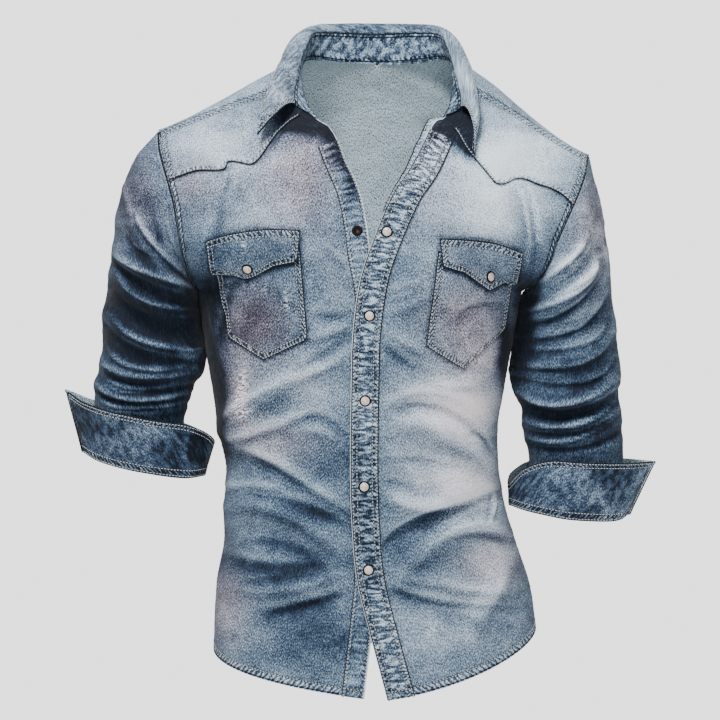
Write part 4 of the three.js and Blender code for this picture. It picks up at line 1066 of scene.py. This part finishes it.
def stitch(bm, lane):
    """A row of threads along a line of places on the cloth"""
    path, ways = lane
    if len(path) < 3:
        return
    run = np.concatenate([[0], np.cumsum(np.linalg.norm(np.diff(path, axis=0), axis=1))])
    for centre in np.arange(THREAD_PITCH, run[-1] - THREAD_LONG / 2, THREAD_PITCH):
        ends = [Vector([np.interp(centre + side * THREAD_LONG / 2, run, path[:, k]) for k in range(3)])
                for side in (-1, 1)]
        way = Vector([np.interp(centre, run, ways[:, k]) for k in range(3)]).normalized()
        long = (ends[1] - ends[0]).normalized()
        side = long.cross(way).normalized()
        middle = (ends[0] + ends[1]) / 2 + way * THREAD_OUT
        turn = Matrix((side, side.cross(long) * -1, long)).transposed().to_4x4()
        place = Matrix.Scale(MM, 4) @ Matrix.Translation(middle) @ turn
        bmesh.ops.create_cone(
            bm, cap_ends=True, cap_tris=False, segments=4, radius1=THREAD_THICK / 2,
            radius2=THREAD_THICK / 2, depth=THREAD_LONG, matrix=place)
        # A dark cone between two threads, painted shade of the needle's pit
        gap = Vector([np.interp(centre + THREAD_PITCH / 2, run, path[:, k]) for k in range(3)])
        turn = Matrix((side, long, way)).transposed().to_4x4()
        place = Matrix.Scale(MM, 4) @ Matrix.Translation(gap + way * PIT_OUT) @ turn
        made = bmesh.ops.create_cone(bm, cap_ends=False, segments=6, radius1=PIT, radius2=PIT / 3,
                                     depth=PIT_DEEP, matrix=place)["verts"]
        for face in {face for vert in made for face in vert.link_faces}:
            face.material_index = 1


def stitching(name, look, lanes):
    bm = bmesh.new()
    for lane in lanes:
        stitch(bm, lane)
    return finish_object(name, bm, [look, needle_pit_shade])


inside = denim_inside("denim_inside", 0.12)
# Darker copies of the inside, as painted shade under the collar leaf and inside the cuffs
under_leaf_shade = denim_inside("denim_under_collar_shade", -0.75)
inside_cuff_shade = denim_inside("denim_inside_cuff_shade", -0.2)
pale_thread = thread_look("pale_thread", (0.66, 0.72, 0.76))
needle_pit_shade = thread_look("needle_pit_shade", (0.02, 0.033, 0.06))
pearl = pearl_look("pearl")
dark_metal = metal_look("dark_metal", (0.018, 0.014, 0.015), 0.5)

def outline_of(shape):
    """The whole rim of a pocket or flap on the front view, its top included"""
    t = np.linspace(0, 1, 25)
    top = along(shape["top"], t)
    return [*top[::-1], *np.array(shape["bottom"], float), top[-1]]


sewn_on = {
    "right": [outline_of(POCKET_RIGHT), outline_of(FLAP_RIGHT), along(YOKE_RIGHT, np.linspace(0, 1, 60))],
    "left": [outline_of(POCKET_LEFT), outline_of(FLAP_LEFT), along(YOKE_LEFT, np.linspace(0, 1, 60))],
}

# Body panels
body_parts = {}
for side, surface in (("right", front_right), ("left", front_left)):
    u, v = lattice(116, 236, (0, 1 - EDGE_GAP), (EDGE_GAP, 1))
    part = Piece(surface, u, v, wear_and_shade=FRONT_WEAR_AND_SHADE + PAINTED_COLLAR_SHADOW, shade=0.46, painted_side_shade=0.36, ridge=0.34)
    # Painted shade beside the edges of the pockets, flaps and yoke
    part.shaded(sewn_on[side], 0.2, 3.2)
    part.pucker(part.right, part.top, 4, 4, 0.3, 6.5, 8)
    part.pucker(part.bottom, part.left, 5, 5, 0.55, 7.5, 3)
    body_parts[side] = part
    look = denim(f"denim_front_{side}", seams=[(("bottom",), (2.0, HEM)), (("right",), TWIN)],
                 rope=0.26, worn_and_lit=("left",), tone=0.1)
    sew(f"front_{side}", [part], CLOTH, [look, inside])
back_parts = []
for surface, span in ((back_right, (EDGE_GAP - 1, 0)), (back_left, (0, 1 - EDGE_GAP))):
    u, v = lattice(86, 200, span, (EDGE_GAP, 1))
    part = Piece(surface, u, v, wear_and_shade=BACK_WEAR, shade=0.46, painted_side_shade=0.3)
    part.pucker(part.bottom, part.left, 5, 5, 0.55, 7.5, 5)
    back_parts.append(part)
sew("back", back_parts, CLOTH,
    [denim("denim_back", seams=[(("bottom",), (2.0, HEM))], rope=0.3, tone=0.06), inside])

# Sleeves and cuffs
for side, surface, cuff_surface in (
        ("right", sleeve_right, cuff_right), ("left", sleeve_left, cuff_left)):
    u, v = lattice(110, 150)
    part = Piece(surface, u, v, wear_and_shade=SLEEVE_WEAR_AND_SHADE, shade=0.44, painted_side_shade=0.16, ridge=0.37)
    sew(f"sleeve_{side}", [part], CLOTH,
        [denim(f"denim_sleeve_{side}", raised=("top",), rim=0.1), inside])
    u, v = lattice(190, 30)
    band = Piece(cuff_surface, u, v, wear_and_shade=CUFF_WEAR, shade=0.22)
    band.pucker(band.top, band.left, 3, 3, 0.5, 6.5, 9)
    band.pucker(band.bottom, band.left, 5, 5, 0.6, 8.0, 10)
    sew(f"cuff_{side}", [band], DOUBLED,
        [denim(f"denim_cuff_{side}", seams=[
            (("top", "left", "right"), (2.0, 6.5)), (("bottom",), (2.0, 9.0))], rope=0.26,
               raised=("top", "bottom", "left", "right"), rim=0.5, marble=0.1), inside_cuff_shade])
    stitching(f"cuff_{side}_stitching", pale_thread, [
        band.lane("top", 2.0), band.lane("top", 6.5), band.lane("bottom", 2.0), band.lane("bottom", 9.0)])

# Collar
u, v = lattice(230, 14, (0, 1), (0.0, 0.985))
part = Piece(stand, u, v, shade=0.4)
part.pucker(part.top, part.left, 5, 6, 0.5, 7.0, 12)
sew("collar_stand", [part], DOUBLED,
    [denim("denim_stand_face", seams=[(("top",), (2.4,)), (("bottom",), (3.0,))], rope=0.16, marble=0.2),
     denim("denim_stand", seams=[(("top",), (2.4,)), (("bottom",), (3.0,))], rope=0.2, marble=0.42,
           raised=("top", "bottom"), worn_and_lit=("left", "right"), rim=0.5)])
u, v = lattice(230, 38, (0, 1), (0.015, 1))
part = Piece(leaf, u, v, wear_and_shade=LEAF_WEAR, shade=0.46)
part.pucker_rim(5, 4.5, 0.45, 6.5, 14)
sew("collar_leaf", [part], DOUBLED,
    [denim("denim_leaf", seams=[(("bottom", "left", "right"), TWIN)], rope=0.5, marble=0.12,
           raised=("bottom", "left", "right")), under_leaf_shade])
stitching("collar_stitching", pale_thread, [
    part.lane("bottom", inset, inset, inset) for inset in TWIN] + [
    part.lane(edge, inset, 0, inset) for inset in TWIN for edge in ("left", "right")])


# Pieces that lie on a panel
FIND_TRIES = 14
FIND_LEAST = 400  # keeps the step of a try short where the sheet is seen side on
FIND_STEP = 0.05


def find_on(places, x, z):
    """The places (u, v) of a sheet that show at x, z on the front view"""
    grid_u, grid_v = lattice(40, 80)
    grid_u, grid_v = grid_u.ravel(), grid_v.ravel()
    seen = places(grid_u, grid_v)
    shape = x.shape
    x, z = x.ravel(), z.ravel()
    best = ((x[:, None] - seen[:, 0])**2 + (z[:, None] - seen[:, 2])**2).argmin(axis=1)
    u, v = grid_u[best], grid_v[best]
    small = 1e-4
    for _ in range(FIND_TRIES):
        here = places(u, v)
        by_u = (places(u + small, v) - here) / small
        by_v = (places(u, v + small) - here) / small
        miss_x, miss_z = x - here[:, 0], z - here[:, 2]
        a, b, c, d = by_u[:, 0], by_v[:, 0], by_u[:, 2], by_v[:, 2]
        size = a * d - b * c
        size = np.where(np.abs(size) < FIND_LEAST, FIND_LEAST * np.sign(size + 1e-9), size)
        u = np.clip(u + np.clip((d * miss_x - b * miss_z) / size, -FIND_STEP, FIND_STEP), 0, 1)
        v = np.clip(v + np.clip((a * miss_z - c * miss_x) / size, -FIND_STEP, FIND_STEP), 0, 1)
    return u.reshape(shape), v.reshape(shape)


YOKE_INNER = 0.045  # share of a front that the yoke leaves free beside the neck


def yoke(surface, outline, columns, rows):
    """The places of a front yoke on its front, from the shoulder seam down to its outline"""
    points = np.array(outline, float)
    line = np.stack(find_on(surface.places, points[:, 0], points[:, 1]), axis=1)
    s, t = lattice(columns, rows)
    last = along(line, s)
    return mix(YOKE_INNER, 1 - 2 * EDGE_GAP, last[..., 0]), mix(EDGE_GAP, last[..., 1], t)


for side, surface, outline in (("right", front_right, YOKE_RIGHT), ("left", front_left, YOKE_LEFT)):
    u, v = yoke(surface, outline, 110, 56)
    part = Piece(surface, u, v, LIE, FRONT_WEAR_AND_SHADE + PAINTED_COLLAR_SHADOW, 0.52)
    part.pucker(part.bottom, part.left, 1, 4, 0.35, 6.0, 16)
    sew(f"yoke_front_{side}", [part], CLOTH, [
        denim(f"denim_yoke_{side}", seams=[(("bottom",), (2.0,)), (("right",), (2.0, 8.0)),
                                           (("top",), (4.0, 10.0))], rope=0.2, raised=("bottom",),
              rim=0.8), inside])
    stitching(f"yoke_{side}_stitching", pale_thread, [
        part.lane("bottom", 2.0), part.lane("right", 2.0), part.lane("right", 8.0),
        part.lane("top", 4.0), part.lane("top", 10.0)])
back_yoke = []
for surface, span in ((back_right, (2 * EDGE_GAP - 1, 0)), (back_left, (0, 1 - 2 * EDGE_GAP))):
    u, t = lattice(100, 64, span)
    last = along([[row] for row in YOKE_BACK], np.abs(u))[..., 0] / (len(BACK_PULLS) - 1)
    part = Piece(surface, u, mix(EDGE_GAP, last, t), LIE, BACK_WEAR, 0.52)
    part.pucker(part.bottom, part.left, 1, 4, 0.35, 6.0, 18)
    back_yoke.append(part)
sew("yoke_back", back_yoke, CLOTH, [
    denim("denim_yoke_back", seams=[(("bottom",), (2.0,)), (("top",), (3.0,))], rope=0.2,
          raised=("bottom",), rim=0.8), inside])
stitching("yoke_back_stitching", pale_thread, [
    back_yoke[0].lane("bottom", 2.0), back_yoke[1].lane("bottom", 2.0)])

# Plackets along the front edges, from the neck corner to the hem
NECK_CORNER = 4.4 / (len(RIGHT_EDGE) - 1)
PLACKET_REACH = 0.4  # share of a front that holds the placket
PLACKET_EDGE = 0.002
lying = {"right": ("right",), "left": ("left", "right")}
rows_of = {"right": {"left": (2.0,), "right": (1.6,)}, "left": {"left": (1.8, 7.2), "right": (1.8, 7.2)}}


def placket(surface, width, columns, rows):
    """The places of a strip of even width along the edge of a front"""
    s, v = lattice(columns, rows, (0, 1), (NECK_CORNER, 1))
    steps = np.linspace(0, PLACKET_REACH, 81)
    across_u, down_v = np.meshgrid(steps, v[:, 0])
    places = surface.places(across_u, down_v)
    run = np.cumsum(np.linalg.norm(np.diff(places, axis=1), axis=2), axis=1)
    share = np.array([np.interp(width, row, steps[1:]) for row in run])
    return PLACKET_EDGE + s * share[:, None], v


for side, surface, width in (("right", front_right, UNDERLAP), ("left", front_left, PLACKET)):
    u, v = placket(surface, width, 18, 330)
    part = Piece(surface, u, v, LIE, FRONT_WEAR_AND_SHADE + PAINTED_COLLAR_SHADOW, 0.5, even=True)
    for gap in (part.left, part.right):
        part.pucker(gap, part.top, 9, 9, 0.7 if side == "left" else 0.25, 8.5, 20)
    inset = rows_of[side]
    sew(f"placket_{side}", [part], CLOTH, [
        denim(f"denim_placket_{side}", seams=[((edge,), inset[edge]) for edge in inset]
              + [(("bottom",), (HEM,))], rope=0.14, raised=lying[side], rim=0.5,
              worn_and_lit=("left",) if side == "right" else (), strokes=0.28 if side == "left" else 0.06), inside])
    stitching(f"placket_{side}_stitching", pale_thread, [
        part.lane(edge, gap) for edge in inset for gap in inset[edge]] + [part.lane("bottom", HEM)])
    body_parts[f"placket_{side}"] = part

# The left facing rolls out along the neck edge, so that a strip of it shows
FACING_SHOWN = 9.0
FACING_START, FACING_END = 2.6, 7.5  # in rows of LEFT_EDGE
FACING_FULL = 3.4  # the row from which it has its full width
FACING_TAPER = 3  # rows over which it narrows again
FACING_ROUND, FACING_BACK = 2.5, 3.5  # how far it rolls behind the edge


def facing_places(u, v):
    rows = len(LEFT_EDGE) - 1
    v = mix(FACING_START, FACING_END, v) / rows
    edge = left_places(0 * u, v)
    inward = edge - left_places(0 * u + 0.02, v)
    inward = inward / np.linalg.norm(inward, axis=-1, keepdims=True)
    full = ramp(v, FACING_START / rows, FACING_FULL / rows) * ramp(
        FACING_END / rows - v, 0, FACING_TAPER / rows)
    wide = FACING_SHOWN * (0.25 + 0.75 * full) * (1 + 0.12 * mottle(v * 700, 0 * v, 9, 61))
    behind_edge = np.array([0, 1, 0]) * (FACING_ROUND * np.sin(pi * u) + FACING_BACK * u**2)[..., None]
    return edge + inward * (wide * u)[..., None] + behind_edge


u, v = lattice(12, 90)
part = Piece(Surface(facing_places, 1), u, v, 0.2, [], 0.72)
sew_loose("facing_left", [part], CLOTH, [
    denim("denim_facing", seams=[(("right",), (2.2,))], rope=0.2, raised=("right",), rim=0.6,
          marble=0.1), inside])
stitching("facing_left_stitching", pale_thread, [part.lane("right", 2.2)])

# Pockets and their flaps
FLAP_LIE = 2 * LIE + 1.2
POCKET_ROWS = (1.6, 7.0)
for side, surface, pocket, flap in (
        ("right", front_right, POCKET_RIGHT, FLAP_RIGHT), ("left", front_left, POCKET_LEFT, FLAP_LEFT)):
    for kind, outline, layer, columns, rows, above in (
            ("pocket", pocket, LIE, 60, 64, 1.0), ("flap", flap, FLAP_LIE, 64, 30, 0.6)):
        s, t = lattice(columns, rows)
        top, bottom = along(outline["top"], s), straight(outline["bottom"], s)
        place = mix(top, bottom, t[..., None])
        u, v = find_on(surface.places, place[..., 0], place[..., 1])
        part = Piece(surface, u, v, layer, FRONT_WEAR_AND_SHADE, 0.4)
        rim = np.minimum(np.minimum(part.left, part.right), part.bottom)
        part.push(above * ramp(rim, 0, 16))
        if kind == "pocket":
            # Painted shadow of the flap on the pocket below it
            part.shaded([outline_of(flap)], 0.4, 4.5)
        part.pucker_rim(4.5, 4, 0.4, 6.5, 24)
        seams = [(("bottom", "left", "right"), POCKET_ROWS)]
        if kind == "flap":
            seams.append((("top",), (2.0, 8.0)))
        sew(f"{kind}_{side}", [part], CLOTH,
            [denim(f"denim_{kind}_{side}", seams=seams, rope=0.26, raised=(
                "bottom", "left", "right", "top")[:4 if kind == "flap" else 3]), inside])
        stitching(f"{kind}_{side}_stitching", pale_thread, [
            part.lane("bottom", gap, gap, gap) for gap in POCKET_ROWS] + [
            part.lane(edge, gap, 0, gap) for gap in POCKET_ROWS for edge in ("left", "right")] + (
            [part.lane("top", 2.0), part.lane("top", 8.0)] if kind == "flap" else []))

# Stitching of the hems
stitching("hem_stitching", pale_thread, [
    part.lane("bottom", HEM) for part in (body_parts["right"], body_parts["left"], *back_parts)])


# Snaps
def turned(bm, profile, slot):
    """A round part from half its section, each place its distance from the axis and its height"""
    verts = [bm.verts.new((r, 0, h)) for r, h in profile]
    edges = [bm.edges.new(pair) for pair in zip(verts, verts[1:])]
    bmesh.ops.spin(bm, geom=verts + edges, cent=(0, 0, 0), axis=(0, 0, 1), angle=2 * pi,
                   steps=28, use_merge=True)
    faces = [face for face in bm.faces if face.material_index == 0 and not face.tag]
    for face in faces:
        face.material_index = slot
        face.tag = True


def snap(name, surface, spot, layer, looks, profiles):
    """Makes one snap, on the face of the cloth where it shows at a spot of the front view"""
    u, v = find_on(surface.places, np.array([spot[0]], float), np.array([spot[1]], float))
    part = Piece(surface, np.array([u, u]), np.array([v, v]), layer)
    centre, way = part.points[0, 0], Vector(part.faces[0, 0])
    bm = bmesh.new()
    for index, profile in enumerate(profiles):
        turned(bm, profile, index)
    bmesh.ops.remove_doubles(bm, verts=bm.verts, dist=0.001)
    bmesh.ops.recalc_face_normals(bm, faces=bm.faces)
    place = (Matrix.Scale(MM, 4) @ Matrix.Translation(Vector(centre))
             @ way.to_track_quat("Z", "Y").to_matrix().to_4x4())
    bmesh.ops.transform(bm, matrix=place, verts=bm.verts)
    made = finish_object(name, bm, looks)
    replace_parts(made, name)


RING_PROFILE = [(3.9, 0.9), (5.1, 1.2), (5.9, 1.2), (6.5, 0.95), (6.8, 0.5), (6.8, -0.3), (3.9, -0.3)]
CAP_PROFILE = [(0, 2.7), (1.5, 2.6), (2.9, 2.3), (4.0, 1.85), (4.8, 1.3), (5.2, 0.9), (5.1, 0.3)]
SOCKET_PROFILES = [
    [(2.3, 0.5), (3.0, 1.3), (4.4, 1.5), (5.3, 1.3), (6.1, 0.8), (6.3, -0.2), (2.3, -0.6)],
    [(0, -0.5), (1.4, -0.4), (2.5, 0.2)],
]
SNAP_LIE = LIE - 0.1
FLAP_SNAP_LIE = 2 * LIE + 1.7
SOCKET_LIE = LIE + 0.3
pearl_snaps = [(f"snap_{i + 1}", front_left, spot, SNAP_LIE) for i, spot in enumerate(SNAPS)] + [
    ("snap_flap_right", front_right, SNAP_ON_FLAP_RIGHT, FLAP_SNAP_LIE),
    ("snap_flap_left", front_left, SNAP_ON_FLAP_LEFT, FLAP_SNAP_LIE)]
for name, surface, spot, layer in pearl_snaps:
    snap(name, surface, spot, layer, [dark_metal, pearl], [RING_PROFILE, CAP_PROFILE])
well = metal_look("copper_well", (0.09, 0.035, 0.02), 0.45)
snap("snap_socket", front_right, SOCKET, SOCKET_LIE, [dark_metal, well], SOCKET_PROFILES)

# Floor and light
bm = bmesh.new()
bmesh.ops.create_circle(bm, cap_ends=True, segments=64, radius=2.9)
bmesh.ops.translate(bm, vec=(0, 0, -1.45), verts=bm.verts)
mesh = bpy.data.meshes.new("floor")
bm.to_mesh(mesh)
bm.free()
floor = bpy.data.objects.new("floor", mesh)
bpy.context.scene.collection.objects.link(floor)
look = Look("floor")
mesh.materials.append(look.finish(
    (0.9, 0.9, 0.905, 1), 0.9, Emission_Color=(1, 1, 1, 1), Emission_Strength=0.35))

world = bpy.data.worlds.new("studio")
bpy.context.scene.world = world
world.use_nodes = True
nodes, links = world.node_tree.nodes, world.node_tree.links
soft = nodes["Background"]
soft.inputs["Color"].default_value = (0.9, 0.95, 1.0, 1)
soft.inputs["Strength"].default_value = 0.36
backdrop = nodes.new("ShaderNodeBackground")
backdrop.inputs["Color"].default_value = (1.0, 1.0, 1.0, 1)
backdrop.inputs["Strength"].default_value = 2.3
seen, which = nodes.new("ShaderNodeLightPath"), nodes.new("ShaderNodeMixShader")
links.new(seen.outputs["Is Camera Ray"], which.inputs[0])
links.new(soft.outputs[0], which.inputs[1])
links.new(backdrop.outputs[0], which.inputs[2])
links.new(which.outputs[0], nodes["World Output"].inputs["Surface"])


def lamp(name, place, aim, size, power, colour=(1, 1, 1)):
    light = bpy.data.lights.new(name, "AREA")
    light.size, light.energy, light.color = size, power, colour
    made = bpy.data.objects.new(name, light)
    made.location = place
    made.rotation_euler = (Vector(aim) - Vector(place)).to_track_quat("-Z", "Y").to_euler()
    bpy.context.scene.collection.objects.link(made)


lamp("key", (-0.6, -1.4, 2.1), (0, 0, -0.35), 0.7, 125)
lamp("front", (0.6, -3.4, 0.2), (0, 0, -0.35), 1.6, 42)
lamp("back", (0.6, 2.2, 1.7), (0, 0, -0.3), 1.4, 60)
